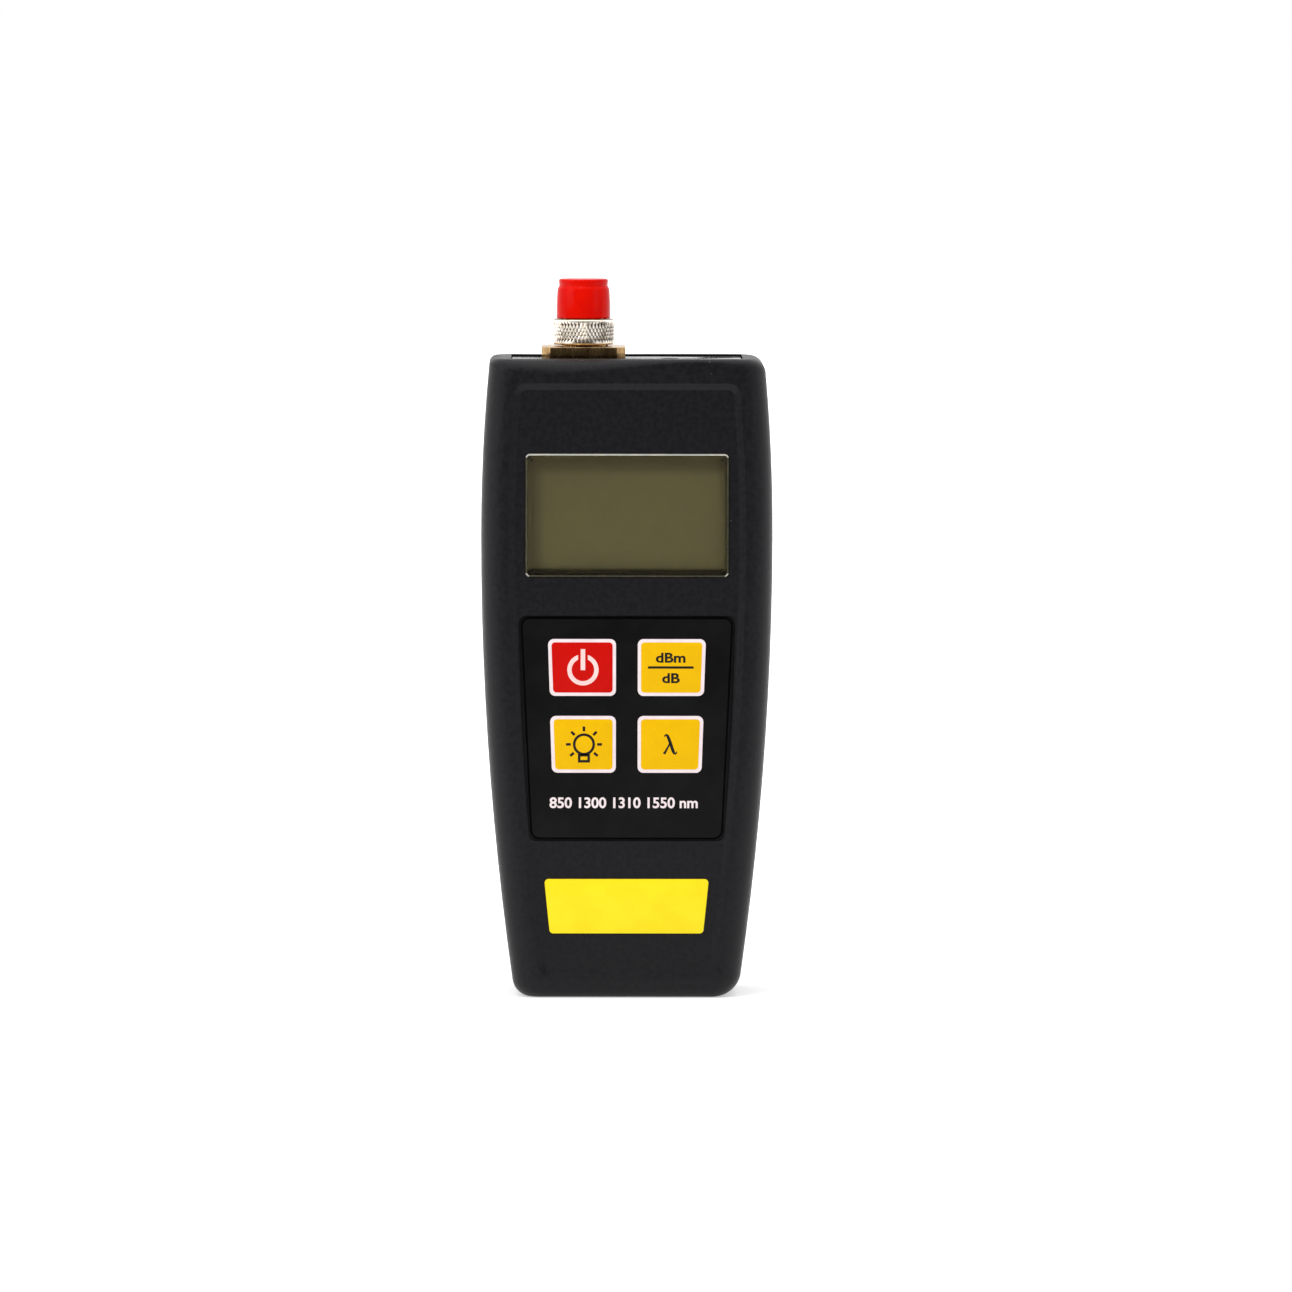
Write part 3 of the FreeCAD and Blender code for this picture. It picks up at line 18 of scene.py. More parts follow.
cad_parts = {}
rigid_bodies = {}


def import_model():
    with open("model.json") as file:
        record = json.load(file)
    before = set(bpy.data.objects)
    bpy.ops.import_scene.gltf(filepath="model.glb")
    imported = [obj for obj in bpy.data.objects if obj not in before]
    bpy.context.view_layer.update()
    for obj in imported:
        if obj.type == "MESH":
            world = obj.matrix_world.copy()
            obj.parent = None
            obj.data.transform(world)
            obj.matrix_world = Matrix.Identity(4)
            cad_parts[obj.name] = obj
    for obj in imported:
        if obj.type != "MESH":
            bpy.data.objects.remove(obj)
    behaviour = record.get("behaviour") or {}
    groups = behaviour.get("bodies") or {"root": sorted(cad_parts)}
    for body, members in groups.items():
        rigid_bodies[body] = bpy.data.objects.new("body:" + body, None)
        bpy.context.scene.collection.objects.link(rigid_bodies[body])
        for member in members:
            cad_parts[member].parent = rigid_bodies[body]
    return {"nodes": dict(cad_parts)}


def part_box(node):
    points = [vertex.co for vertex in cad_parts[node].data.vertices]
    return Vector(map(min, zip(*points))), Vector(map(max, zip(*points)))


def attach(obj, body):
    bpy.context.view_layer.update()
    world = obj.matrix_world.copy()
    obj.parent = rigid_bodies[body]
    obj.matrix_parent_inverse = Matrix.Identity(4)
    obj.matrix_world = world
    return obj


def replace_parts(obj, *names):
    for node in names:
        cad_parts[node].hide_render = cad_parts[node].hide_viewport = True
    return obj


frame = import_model()

MM = 0.001
log = logging.getLogger("meter")

Point = tuple[float, float, float]
Spot = tuple[float, float]
Loop = list[Spot]
Tree = bpy.types.NodeTree
Node = bpy.types.Node
Socket = bpy.types.NodeSocket
Piece = bpy.types.Object

# Which stretch of a noise turns one shade, or one gloss, into the other.
SHADE_SPAN: Spot = (0.35, 0.65)
GLOSS_SPAN: Spot = (0.3, 0.7)
WEAR_SPAN: Spot = (0.4, 0.8)
NOISE_ROUGHNESS = 0.6
# A speck's edge, as a share of the distance between specks, and how much of the colour it covers.
SPECK_SPAN: Spot = (0.008, 0.02)
SPECK_COVER = 0.8

# Corners closer than this are one corner, in metres: on shaped pieces, on print and on copies of the CAD.
BENCH_GAP = 5e-7
PRINT_GAP = 2e-7
COPY_GAP = 1e-6
# An edge is sharp where its faces turn by more than this many degrees.
SHARP_TURN = 35.0


# ------------------------------------------------------------------ the frame's places

def millimetres(node: str) -> tuple[Vector, Vector]:
    """Lowest and highest corner of a CAD node, in millimetres."""
    low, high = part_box(node)
    return low / MM, high / MM


def frame_body(node: str) -> str:
    """Name of the body that a CAD node rides on."""
    return frame["nodes"][node].parent.name.split(":", 1)[1]


def port_axis() -> Spot:
    """x and y of the fibre port's upright axis: the middle of its square flange, to a hundredth."""
    low, high = millimetres("detector_receptacle")
    return round((low.x + high.x) / 2, 2), round((low.y + high.y) / 2, 2)


PORT_AXIS = port_axis()


# ------------------------------------------------------------------ colour and node helpers

def linear(hex_colour: str) -> tuple[float, float, float, float]:
    """Turn an sRGB hex colour into the linear colour that a socket takes.

    Args:
        hex_colour: six hex digits with a leading hash.

    Returns:
        Red, green, blue and alpha, linear.
    """
    channels = [int(hex_colour[i:i + 2], 16) / 255 for i in (1, 3, 5)]
    turned = [c / 12.92 if c <= 0.04045 else ((c + 0.055) / 1.055) ** 2.4 for c in channels]
    return turned[0], turned[1], turned[2], 1.0


def plug(tree: Tree, node: Node, inputs: dict[str | int, object]) -> None:
    """Set a node's sockets, or link them.

    Args:
        tree: the node tree.
        node: the node.
        inputs: socket name or number to a value, or to an output socket to link from.
    """
    for name, value in inputs.items():
        if isinstance(value, bpy.types.NodeSocket):
            tree.links.new(value, node.inputs[name])
        else:
            node.inputs[name].default_value = value


def add_node(tree: Tree, kind: str, inputs: dict[str | int, object] | None = None,
             **settings: object) -> Node:
    """Add one node with its settings, socket values and links.

    Args:
        tree: the node tree.
        kind: the node's type name.
        inputs: socket name or number to a value, or to an output socket to link from.
        settings: the node's own properties.

    Returns:
        The new node.
    """
    node = tree.nodes.new(kind)
    for name, value in settings.items():
        setattr(node, name, value)
    plug(tree, node, inputs or {})
    return node


def scaled(tree: Tree, value: Socket, low: float, high: float, at_low: float = 0.0,
           at_high: float = 1.0) -> Socket:
    """Turn one range of a value smoothly into another.

    Args:
        tree: the node tree.
        value: what is turned.
        low: the value where the result is at_low.
        high: the value where the result is at_high.
        at_low: result at the low end.
        at_high: result at the high end.

    Returns:
        The result's socket.
    """
    return add_node(tree, "ShaderNodeMapRange", {0: value, 1: low, 2: high, 3: at_low, 4: at_high},
                    interpolation_type="SMOOTHSTEP").outputs[0]


def blended(tree: Tree, share: Socket | float, first: object, second: object) -> Socket:
    """Mix two colours.

    Args:
        tree: the node tree.
        share: how much of the second colour.
        first: a colour or a socket.
        second: a colour or a socket.

    Returns:
        The mixed colour's socket.
    """
    return add_node(tree, "ShaderNodeMix", {0: share, 6: first, 7: second}, data_type="RGBA").outputs[2]


def combined(tree: Tree, operation: str, first: object, second: object) -> Socket:
    """Join two numbers with one sum.

    Args:
        tree: the node tree.
        operation: the Math node's operation.
        first: a number or a socket.
        second: a number or a socket.

    Returns:
        The result's socket.
    """
    return add_node(tree, "ShaderNodeMath", {0: first, 1: second}, operation=operation).outputs[0]


def glowing(tree: Tree, strength: Socket | float) -> Socket:
    """A plain white light of that strength."""
    light = add_node(tree, "ShaderNodeEmission", {"Color": linear("#ffffff"), "Strength": strength})
    return light.outputs[0]


# ------------------------------------------------------------------ finishes

@dataclass(frozen=True)
class Finish:
    """A material: what all finishes share."""

    name: str
    colour: str
    shade: str

    def make(self) -> bpy.types.Material:
        """Build the material, or find it when it is already there.

        Returns:
            The material.
        """
        known = bpy.data.materials.get(self.name)
        if known is not None:
            return known
        material = bpy.data.materials.new(self.name)
        material.use_nodes = True
        tree = material.node_tree
        tree.nodes.clear()
        shader = add_node(tree, "ShaderNodeBsdfPrincipled")
        add_node(tree, "ShaderNodeOutputMaterial", {"Surface": shader.outputs["BSDF"]})
        place = add_node(tree, "ShaderNodeTexCoord").outputs["Object"]
        self.wire(tree, shader, place)
        return material

    def wire(self, tree: Tree, shader: Node, place: Socket) -> None:
        """Add the finish's own nodes; each kind of finish has its own.

        Args:
            tree: the node tree.
            shader: the material's shader node.
            place: the coordinates on the piece.
        """
        raise NotImplementedError

    def noise(self, tree: Tree, place: Socket, size: float, detail: float = 3.0) -> Socket:
        """Add a noise.

        Args:
            tree: the node tree.
            place: the coordinates that it reads.
            size: its coarsest blotches, in millimetres.
            detail: how many finer layers it has.

        Returns:
            The noise's value.
        """
        return add_node(tree, "ShaderNodeTexNoise", {
            "Vector": place, "Scale": 1 / (size * MM), "Detail": detail,
            "Roughness": NOISE_ROUGHNESS}).outputs[0]

    def two_tone(self, tree: Tree, noise: Socket) -> Socket:
        """The finish's two shades, mixed by a noise."""
        return blended(tree, scaled(tree, noise, *SHADE_SPAN), linear(self.colour), linear(self.shade))

    def raised(self, tree: Tree, height: Socket, depth: float) -> Socket:
        """The surface's tilt where a height runs over it.

        Args:
            tree: the node tree.
            height: the height, from 0 to 1.
            depth: how deep that is, in millimetres.

        Returns:
            The tilted normal.
        """
        return add_node(tree, "ShaderNodeBump", {
            "Strength": 1.0, "Distance": depth * MM, "Height": height}).outputs[0]

    def dress(self, *nodes: str) -> None:
        """Give CAD nodes this finish and no other.

        Args:
            nodes: the nodes' names.
        """
        for node in nodes:
            slots = frame["nodes"][node].data.materials
            slots.clear()
            slots.append(self.make())


@dataclass(frozen=True)
class Plastic(Finish):
    """A moulded, printed or coated plastic: a mottle of two shades, a fine grain and some specks."""

    mottle: float = 6.0
    grain: float = 0.3
    grain_depth: float = 0.01
    roughness: Spot = (0.4, 0.5)
    index: float = 1.5
    shine: float = 0.5
    specks: float = 0.0
    speck_colour: str = "#808080"

    def wire(self, tree: Tree, shader: Node, place: Socket) -> None:
        """Mottle the colour, vary the gloss and raise the grain.

        Args:
            tree: the node tree.
            shader: the material's shader node.
            place: the coordinates on the piece.
        """
        mottle = self.noise(tree, place, self.mottle)
        tint = self.two_tone(tree, mottle)
        if self.specks:
            cells = add_node(tree, "ShaderNodeTexVoronoi", {
                "Vector": place, "Scale": 1 / (self.specks * MM)}).outputs["Distance"]
            dust = scaled(tree, cells, *SPECK_SPAN, SPECK_COVER, 0.0)
            tint = blended(tree, dust, tint, linear(self.speck_colour))
        grain = self.noise(tree, place, self.grain, detail=2.0)
        plug(tree, shader, {
            "Base Color": tint, "Roughness": scaled(tree, mottle, *GLOSS_SPAN, *self.roughness),
            "Normal": self.raised(tree, grain, self.grain_depth), "IOR": self.index,
            "Specular IOR Level": self.shine})


@dataclass(frozen=True)
class DisplayField(Plastic):
    """The field seen through the window: olive in the middle, with the opening's shade painted as darker
    bands along its edges.
    """

    # Painted shade: colours and widths of the darker bands the opening's shadow lays along each edge.
    top_shadow_colour: str = "#7d7453"
    side_shadow_colour: str = "#7d7355"
    deep_shadow_colour: str = "#36321f"
    top_band: float = 3.3
    left_band: float = 2.8
    right_band: float = 0.8
    foot_band: float = 1.3
    faint_edge: float = 1.0
    soft_edge: float = 0.4

    def wire(self, tree: Tree, shader: Node, place: Socket) -> None:
        """Paint the opening's shade into the plastic's colour, by how far each place is from the window's
        edges.

        Args:
            tree: the node tree.
            shader: the material's shader node.
            place: the coordinates on the piece.
        """
        super().wire(tree, shader, place)
        low, high = millimetres("display_window")
        parts = add_node(tree, "ShaderNodeSeparateXYZ", {0: place})
        across, upright = parts.outputs["X"], parts.outputs["Z"]
        # Direction, where the band ends, half its blur, its cover below and above that place, its painted
        # shadow colour.
        bands = [(upright, high.z - self.top_band, self.faint_edge, 0.0, 1.0, self.top_shadow_colour),
                 (across, low.x + self.left_band, self.faint_edge, 0.75, 0.0, self.side_shadow_colour),
                 (across, high.x - self.right_band, self.soft_edge, 0.0, 0.6, self.deep_shadow_colour),
                 (upright, low.z + self.foot_band, self.soft_edge, 0.9, 0.0, self.deep_shadow_colour)]
        tint = shader.inputs["Base Color"].links[0].from_socket
        for along, end, blur, below, above, shade in bands:
            cover = scaled(tree, along, (end - blur) * MM, (end + blur) * MM, below, above)
            tint = blended(tree, cover, tint, linear(shade))
        plug(tree, shader, {"Base Color": tint})


class Lay(Enum):
    """Which way a metal's machining marks run: how much they are squeezed in x, y and z."""

    ROUND_UPRIGHT = (0.15, 0.15, 6.0)
    UPRIGHT = (5.0, 5.0, 0.3)
    ALONG_X = (0.15, 3.0, 3.0)
    NONE = (1.0, 1.0, 1.0)


@dataclass(frozen=True)
class Metal(Finish):
    """A bare or plated metal: machining marks that follow its lay, tarnish and slightly uneven gloss."""

    roughness: Spot = (0.2, 0.3)
    lay: Lay = Lay.NONE
    mark: float = 0.5
    mark_depth: float = 0.004
    tarnish: float = 2.0

    def wire(self, tree: Tree, shader: Node, place: Socket) -> None:
        """Stretch a noise along the lay for the marks, and tarnish the colour with a broader one.

        Args:
            tree: the node tree.
            shader: the material's shader node.
            place: the coordinates on the piece.
        """
        stretched = add_node(tree, "ShaderNodeMapping", {"Vector": place, "Scale": self.lay.value})
        marks = self.noise(tree, stretched.outputs[0], self.mark, detail=4.0)
        tarnish = self.noise(tree, place, self.tarnish)
        plug(tree, shader, {
            "Base Color": self.two_tone(tree, tarnish),
            "Roughness": scaled(tree, marks, *GLOSS_SPAN, *self.roughness),
            "Normal": self.raised(tree, marks, self.mark_depth), "Metallic": 1.0})


@dataclass(frozen=True)
class KnurledMetal(Metal):
    """A plated metal whose pits, nearer the axis, are coloured brown."""

    axis: Spot = (0.0, 0.0)
    pit_radius: float = 5.33
    crest_radius: float = 5.42
    pit_colour: str = "#8a6a4c"

    def wire(self, tree: Tree, shader: Node, place: Socket) -> None:
        """Darken what lies deep between the ridges.

        Args:
            tree: the node tree.
            shader: the material's shader node.
            place: the coordinates on the piece.
        """
        super().wire(tree, shader, place)
        centred = add_node(tree, "ShaderNodeMapping", {
            "Vector": place, "Location": (-self.axis[0] * MM, -self.axis[1] * MM, 0.0),
            "Scale": (1.0, 1.0, 0.0)}).outputs[0]
        reach = add_node(tree, "ShaderNodeVectorMath", {0: centred}, operation="LENGTH").outputs["Value"]
        deep = scaled(tree, reach, self.pit_radius * MM, self.crest_radius * MM, 1.0, 0.0)
        body = shader.inputs["Base Color"].links[0].from_socket
        plug(tree, shader, {"Base Color": blended(tree, deep, body, linear(self.pit_colour))})


@dataclass(frozen=True)
class Clear(Finish):
    """A clear plastic: polished, with faint wear in its gloss."""

    roughness: Spot = (0.01, 0.04)
    index: float = 1.49
    wear: float = 3.0

    def wire(self, tree: Tree, shader: Node, place: Socket) -> None:
        """Let the light through and vary the polish.

        Args:
            tree: the node tree.
            shader: the material's shader node.
            place: the coordinates on the piece.
        """
        wear = self.noise(tree, place, self.wear, detail=4.0)
        plug(tree, shader, {
            "Base Color": blended(tree, wear, linear(self.colour), linear(self.shade)),
            "Roughness": scaled(tree, wear, *WEAR_SPAN, *self.roughness),
            "Transmission Weight": 1.0, "IOR": self.index})


# Spark-eroded ABS: the mould's fine pits leave the black matte, a little blue, with pale specks of dust.
# The pits are about 0.1 mm across; they are drawn at 0.45 mm so that they show.
CASE_ABS = Plastic("spark_textured_abs", "#161518", "#1b1a1d", mottle=0.9, grain=0.45, grain_depth=0.03,
                   roughness=(0.36, 0.44), index=1.53, shine=0.14, specks=6.0, speck_colour="#77767a")
# The end panel is moulded in a polished tool, so at a flat angle it mirrors whatever is behind it.
PANEL_ABS = Plastic("polished_moulded_abs", "#1e1e20", "#26262a", mottle=5.0, grain=0.9,
                    grain_depth=0.002, roughness=(0.08, 0.14), index=1.53)
# Polyester film, screen printed black on its back: a deep satin black with hardly any grain.
OVERLAY_FILM = Plastic("printed_polyester_film", "#0c0b0c", "#100f10", mottle=8.0, grain=0.5,
                       grain_depth=0.002, roughness=(0.3, 0.38), index=1.57, shine=0.12)
# Painted shadow of the gap round the film: a rim along the film's edge, blacker than the field inside it.
GAP_SHADOW_INK = Plastic("double_black_ink", "#020202", "#040404", grain_depth=0.001, roughness=(0.5, 0.6),
                  shine=0.02)
# Screen inks: flat, opaque and satin, with the faint unevenness of a squeegee.
WHITE_INK = Plastic("white_screen_ink", "#f4e6e8", "#eddde0", mottle=3.0, grain=0.4, grain_depth=0.002,
                    roughness=(0.35, 0.45), shine=0.3)
PINK_INK = Plastic("thin_white_ink_over_red", "#fbdcd8", "#f6d2ce", mottle=2.0, grain=0.4,
                   grain_depth=0.002, roughness=(0.35, 0.45), shine=0.3)
RED_INK = Plastic("red_screen_ink", "#cd0901", "#c90700", mottle=3.0, grain=0.4, grain_depth=0.002,
                  roughness=(0.32, 0.42), shine=0.09)
AMBER_INK = Plastic("amber_screen_ink", "#efbb00", "#ecb700", mottle=3.0, grain=0.4, grain_depth=0.002,
                    roughness=(0.32, 0.42), shine=0.09)
BLACK_INK = Plastic("black_screen_ink", "#14100c", "#1a150f", mottle=3.0, grain=0.4, grain_depth=0.002,
                    roughness=(0.4, 0.5), shine=0.3)
# Printed aluminium foil plate under a clear film: an even satin yellow.
PLATE_YELLOW = Plastic("printed_yellow_foil", "#ffe818", "#fde210", mottle=6.0, grain=0.4,
                       grain_depth=0.002, roughness=(0.3, 0.4), shine=0.25)
# Cast acrylic, polished on its faces; the routed edge is left matte, painted dark where it faces sideways
# and down: painted shade.
LENS_ACRYLIC = Clear("polished_acrylic", "#ffffff", "#fbfbf8")
LENS_EDGE = Plastic("routed_acrylic_edge", "#5a5747", "#4b4839", mottle=1.5, grain=0.2, grain_depth=0.01,
                    roughness=(0.15, 0.3), index=1.49)
# Where that edge faces up towards the lamps, and at its corners, a lighter copy of it is painted on: a
# painted highlight.
LENS_PAINTED_HIGHLIGHT = Plastic("lit_acrylic_edge", "#cfcdbe", "#b9bcb6", mottle=1.5, grain=0.2, grain_depth=0.01,
                     roughness=(0.15, 0.3), index=1.49)
# Reflective liquid crystal cell: grey-olive under a satin polariser, with painted shade where the opening
# shades it.
LCD_GLASS = DisplayField("liquid_crystal_cell", "#948b60", "#918860", mottle=10.0, grain=0.5,
                         grain_depth=0.0002, roughness=(0.45, 0.55), shine=0.04)
# Unpainted polycarbonate: off-white and satin, a little uneven where it flowed in the mould.
WHITE_MOULDING = Plastic("white_moulded_polycarbonate", "#d9d9d4", "#cfcfca")
# Silicone rubber: dark grey and dull, so that it looks soft.
RUBBER = Plastic("silicone_rubber", "#404043", "#4a4a4d", roughness=(0.6, 0.7))
# Solder mask over glass cloth: a deep green with the gloss of a lacquer.
SOLDER_MASK = Plastic("green_solder_mask", "#0d4d24", "#115c2c", roughness=(0.25, 0.35))
# Moulded epoxy, as on chips and switches: nearly black and dull from its filler.
EPOXY = Plastic("moulded_epoxy", "#101010", "#1a1a1b", roughness=(0.5, 0.6))
# Printed shrink sleeve on the cells: dark body, copper-coloured band at the positive end.
CELL_WRAP = Plastic("black_shrink_sleeve", "#16181c", "#1c1f24", grain_depth=0.003, roughness=(0.18, 0.26))
CELL_BAND = Plastic("copper_shrink_sleeve", "#b8743a", "#a9662f", grain_depth=0.003, roughness=(0.22, 0.3))
# Low-density polyethylene: a soft, waxy red with a broad highlight.
CAP_PLASTIC = Plastic("moulded_polyethylene", "#de0e00", "#d80800", mottle=2.5, grain=0.8,
                      grain_depth=0.003, roughness=(0.14, 0.2), index=1.51, shine=0.07)
# Zinc-plated steel: blue-grey and slightly cloudy.
ZINC_STEEL = Metal("zinc_plated_steel", "#b4b6ba", "#9a9ca1", roughness=(0.28, 0.4), mark=0.8)
# Nickel-plated spring sheet: bright, with rolling marks along it.
NICKEL_SHEET = Metal("nickel_plated_sheet", "#cfcbc4", "#bab6ae", roughness=(0.2, 0.3), lay=Lay.ALONG_X)
# Turned and milled brass, left bare: it has gone brown where hands have been.
BRASS = Metal("bare_milled_brass", "#cfab76", "#a48257", roughness=(0.16, 0.3), lay=Lay.UPRIGHT, mark=0.6,
              mark_depth=0.006)
# Bright nickel over brass: a warm white, with the fine rings that turning leaves.
NICKEL = Metal("bright_nickel_plate", "#efe8dc", "#dfd6c8", roughness=(0.14, 0.24),
               lay=Lay.ROUND_UPRIGHT, mark=0.4)
# The same plating over a knurl: its crests are bright, and its pits, nearer the axis, are coloured brown.
KNURLED_NICKEL = KnurledMetal("knurled_nickel_plate", "#f4eee4", "#e6dccd", roughness=(0.16, 0.28),
                              mark=0.3, mark_depth=0.003, axis=PORT_AXIS)


# ------------------------------------------------------------------ hand tools

def select(*pieces: Piece) -> None:
    """Select pieces alone.

    Args:
        pieces: the pieces; the first is the active one.
    """
    bpy.ops.object.select_all(action="DESELECT")
    for piece in pieces:
        piece.select_set(True)
    bpy.context.view_layer.objects.active = pieces[0]


def fix_place(piece: Piece) -> None:
    """Put a piece's place, turn and scale into its mesh."""
    select(piece)
    bpy.ops.object.transform_apply(location=True, rotation=True, scale=True)


def edit(piece: Piece) -> None:
    """Start to edit a piece, with all of it selected.

    Args:
        piece: the piece.
    """
    select(piece)
    bpy.ops.object.mode_set(mode="EDIT")
    bpy.ops.mesh.select_mode(type="VERT")
    bpy.ops.mesh.select_all(action="SELECT")


def merge(gap: float) -> None:
    """Merge the corners of the edited piece that lie closer than a gap.

    Args:
        gap: the gap, in metres.
    """
    bpy.ops.mesh.select_mode(type="VERT")
    bpy.ops.mesh.select_all(action="SELECT")
    bpy.ops.mesh.remove_doubles(threshold=gap)


def weld(gap: float) -> None:
    """Merge the edited piece's corners that lie closer than a gap, and turn all faces outwards."""
    merge(gap)
    bpy.ops.mesh.normals_make_consistent(inside=False)


def place_object(name: str, data: bpy.types.ID) -> Piece:
    """Make an object and put it in the scene.

    Args:
        name: its name.
        data: its mesh, curve, lamp or camera.

    Returns:
        The object.
    """
    holder = bpy.data.objects.new(name, data)
    bpy.context.scene.collection.objects.link(holder)
    return holder


def apply_modifier(piece: Piece, kind: str, **settings: object) -> None:
    """Put one modifier on a piece and apply it.

    Args:
        piece: the piece.
        kind: the modifier's type.
        settings: its settings.
    """
    select(piece)
    modifier = piece.modifiers.new(kind.title(), kind)
    for name, value in settings.items():
        setattr(modifier, name, value)
    bpy.ops.object.modifier_apply(modifier=modifier.name)


def cut_away(piece: Piece, tool: Piece) -> None:
    """Cut a piece with a closed tool, and put the tool away.

    Args:
        piece: the piece.
        tool: what is taken out of it.
    """
    apply_modifier(piece, "BOOLEAN", operation="DIFFERENCE", solver="EXACT", object=tool)
    bpy.data.objects.remove(tool)


def join(first: Piece, *others: Piece) -> Piece:
    """Make several pieces one.

    Args:
        first: the piece that keeps its name.
        others: what is joined to it.

    Returns:
        The first piece.
    """
    if others:
        select(first, *others)
        bpy.ops.object.join()
    return first


# ------------------------------------------------------------------ the bench: shaping by hand

class Part(Enum):
    """What is picked on the bench."""

    VERTS = "VERT"
    EDGES = "EDGE"
    FACES = "FACE"


class Bench:
    """One new piece on the bench: a primitive, shaped in edit mode.  Lengths are in millimetres."""

    def __init__(self, name: str) -> None:
        """Clear the bench for a piece of that name."""
        self.name = name
        bpy.ops.object.select_all(action="DESELECT")

    @property
    def piece(self) -> Piece:
        """The piece on the bench."""
        return bpy.data.objects[self.name]

    def open(self) -> "Bench":
        """Name what was just added, put its place in its mesh and start to edit it.

        Returns:
            The bench.
        """
        bpy.context.object.name = self.name
        fix_place(self.piece)
        edit(self.piece)
        return self

    def ring(self, radius: float, at: Point, sides: int) -> "Bench":
        """Start from a level ring.

        Args:
            radius: the ring's radius.
            at: its middle.
            sides: how many corners it has.

        Returns:
            The bench.
        """
        bpy.ops.mesh.primitive_circle_add(vertices=sides, radius=radius * MM, fill_type="NOTHING",
                                          location=Vector(at) * MM)
        return self.open()

    def block(self, low: Point, high: Point) -> "Bench":
        """Start from a block.

        Args:
            low: its lowest corner.
            high: its highest corner.

        Returns:
            The bench.
        """
        size = Vector(high) - Vector(low)
        bpy.ops.mesh.primitive_cube_add(size=1, location=(Vector(low) + size / 2) * MM, scale=size * MM)
        return self.open()

    def sheet(self, corners: Sequence[Spot], y: float) -> "Bench":
        """Start from a flat sheet that faces the front.

        Args:
            corners: x and z of its four corners, against the clock from the lower left.
            y: the sheet's depth.

        Returns:
            The bench.
        """
        bpy.ops.mesh.primitive_plane_add(size=MM, location=(0, y * MM, 0), rotation=(math.pi / 2, 0, 0))
        self.open()
        near = MM / 1000
        for (start_x, start_z), (x, z) in zip(rectangle(-0.5, -0.5, 0.5, 0.5), corners):
            start = Vector((start_x, y, start_z)) * MM
            self.pick(Part.VERTS, lambda vert: (vert.co - start).length < near)
            bpy.ops.transform.translate(value=Vector((x, y, z)) * MM - start)
        return self

    def pick(self, part: Part, wanted: Callable[[object], bool]) -> "Bench":
        """Select the corners, edges or faces that are wanted, and nothing else.

        Args:
            part: what is picked.
            wanted: says whether one corner, edge or face is wanted.

        Returns:
            The bench.
        """
        bpy.ops.mesh.select_mode(type=part.value)
        bpy.ops.mesh.select_all(action="DESELECT")
        shape = bmesh.from_edit_mesh(self.piece.data)
        found = {Part.VERTS: shape.verts, Part.EDGES: shape.edges, Part.FACES: shape.faces}[part]
        for element in found:
            if wanted(element):
                element.select_set(True)
        shape.select_flush_mode()
        bmesh.update_edit_mesh(self.piece.data)
        return self

    def paint(self, slot: int) -> "Bench":
        """Give the picked faces a material.

        Args:
            slot: the material's slot.

        Returns:
            The bench.
        """
        shape = bmesh.from_edit_mesh(self.piece.data)
        for face in shape.faces:
            if face.select:
                face.material_index = slot
        bmesh.update_edit_mesh(self.piece.data)
        return self

    def round_corners(self, radius: float, segments: int = 6) -> "Bench":
        """Round the corners of a flat sheet, and pick its face.

        Args:
            radius: the corners' radius.
            segments: how many parts each corner has.

        Returns:
            The bench.
        """
        bpy.ops.mesh.select_all(action="SELECT")
        bpy.ops.mesh.bevel(offset=radius * MM, offset_type="OFFSET", segments=segments, affect="VERTICES",
                           profile=0.5)
        return self.pick(Part.FACES, lambda face: True)

    def inset(self, width: float, rise: float = 0.0) -> "Bench":
        """Step the picked faces in, and raise them."""
        bpy.ops.mesh.inset(thickness=width * MM, depth=rise * MM)
        return self

    def thicken(self, depth: float) -> "Bench":
        """Run a sheet's outline back and close it behind.

        Args:
            depth: how far back it runs.

        Returns:
            The bench.
        """
        bpy.ops.mesh.select_mode(type="EDGE")
        bpy.ops.mesh.select_all(action="DESELECT")
        bpy.ops.mesh.select_non_manifold()
        bpy.ops.mesh.extrude_edges_move(TRANSFORM_OT_translate={"value": (0, depth * MM, 0)})
        bpy.ops.mesh.edge_face_add()
        return self

    def frame_out(self, width: float, depth: float) -> "Bench":
        """Keep only a border of the picked sheet, run it back and close the piece.

        Args:
            width: the border's width.
            depth: its thickness.

        Returns:
            The bench.
        """
        self.inset(width)
        bpy.ops.mesh.delete(type="FACE")
        bpy.ops.mesh.select_all(action="SELECT")
        bpy.ops.mesh.extrude_region_move(TRANSFORM_OT_translate={"value": (0, depth * MM, 0)})
        return self.close()

    def turn(self, axis: Spot, profile: Sequence[Spot], capped: bool = True, sides: int = 96) -> "Bench":
        """Draw a ring through a turned profile.

        Args:
            axis: x and y of the upright axis.
            profile: radius and height of each ring.
            capped: close both ends; if not, the last ring meets the first.
            sides: how many corners a ring has.

        Returns:
            The bench.
        """
        radius, height = profile[0]
        middle = Vector((*axis, 0)) * MM
        self.ring(radius, (*axis, height), sides)
        if capped:
            bpy.ops.mesh.edge_face_add()
        for next_radius, next_height in [*profile[1:], *([] if capped else [profile[0]])]:
            rise = (next_height - height) * MM
            bpy.ops.mesh.extrude_edges_move(TRANSFORM_OT_translate={"value": (0, 0, rise)})
            grow = next_radius / radius
            bpy.ops.transform.resize(value=(grow, grow, 1), center_override=middle)
            radius, height = next_radius, next_height
        if capped:
            bpy.ops.mesh.edge_face_add()
        return self.weld()

    def weld(self) -> "Bench":
        """Merge what lies on one spot, and turn all faces outwards."""
        weld(BENCH_GAP)
        return self

    def close(self) -> "Bench":
        """Weld the piece and leave edit mode.

        Returns:
            The bench.
        """
        self.weld()
        bpy.ops.object.mode_set(mode="OBJECT")
        return self

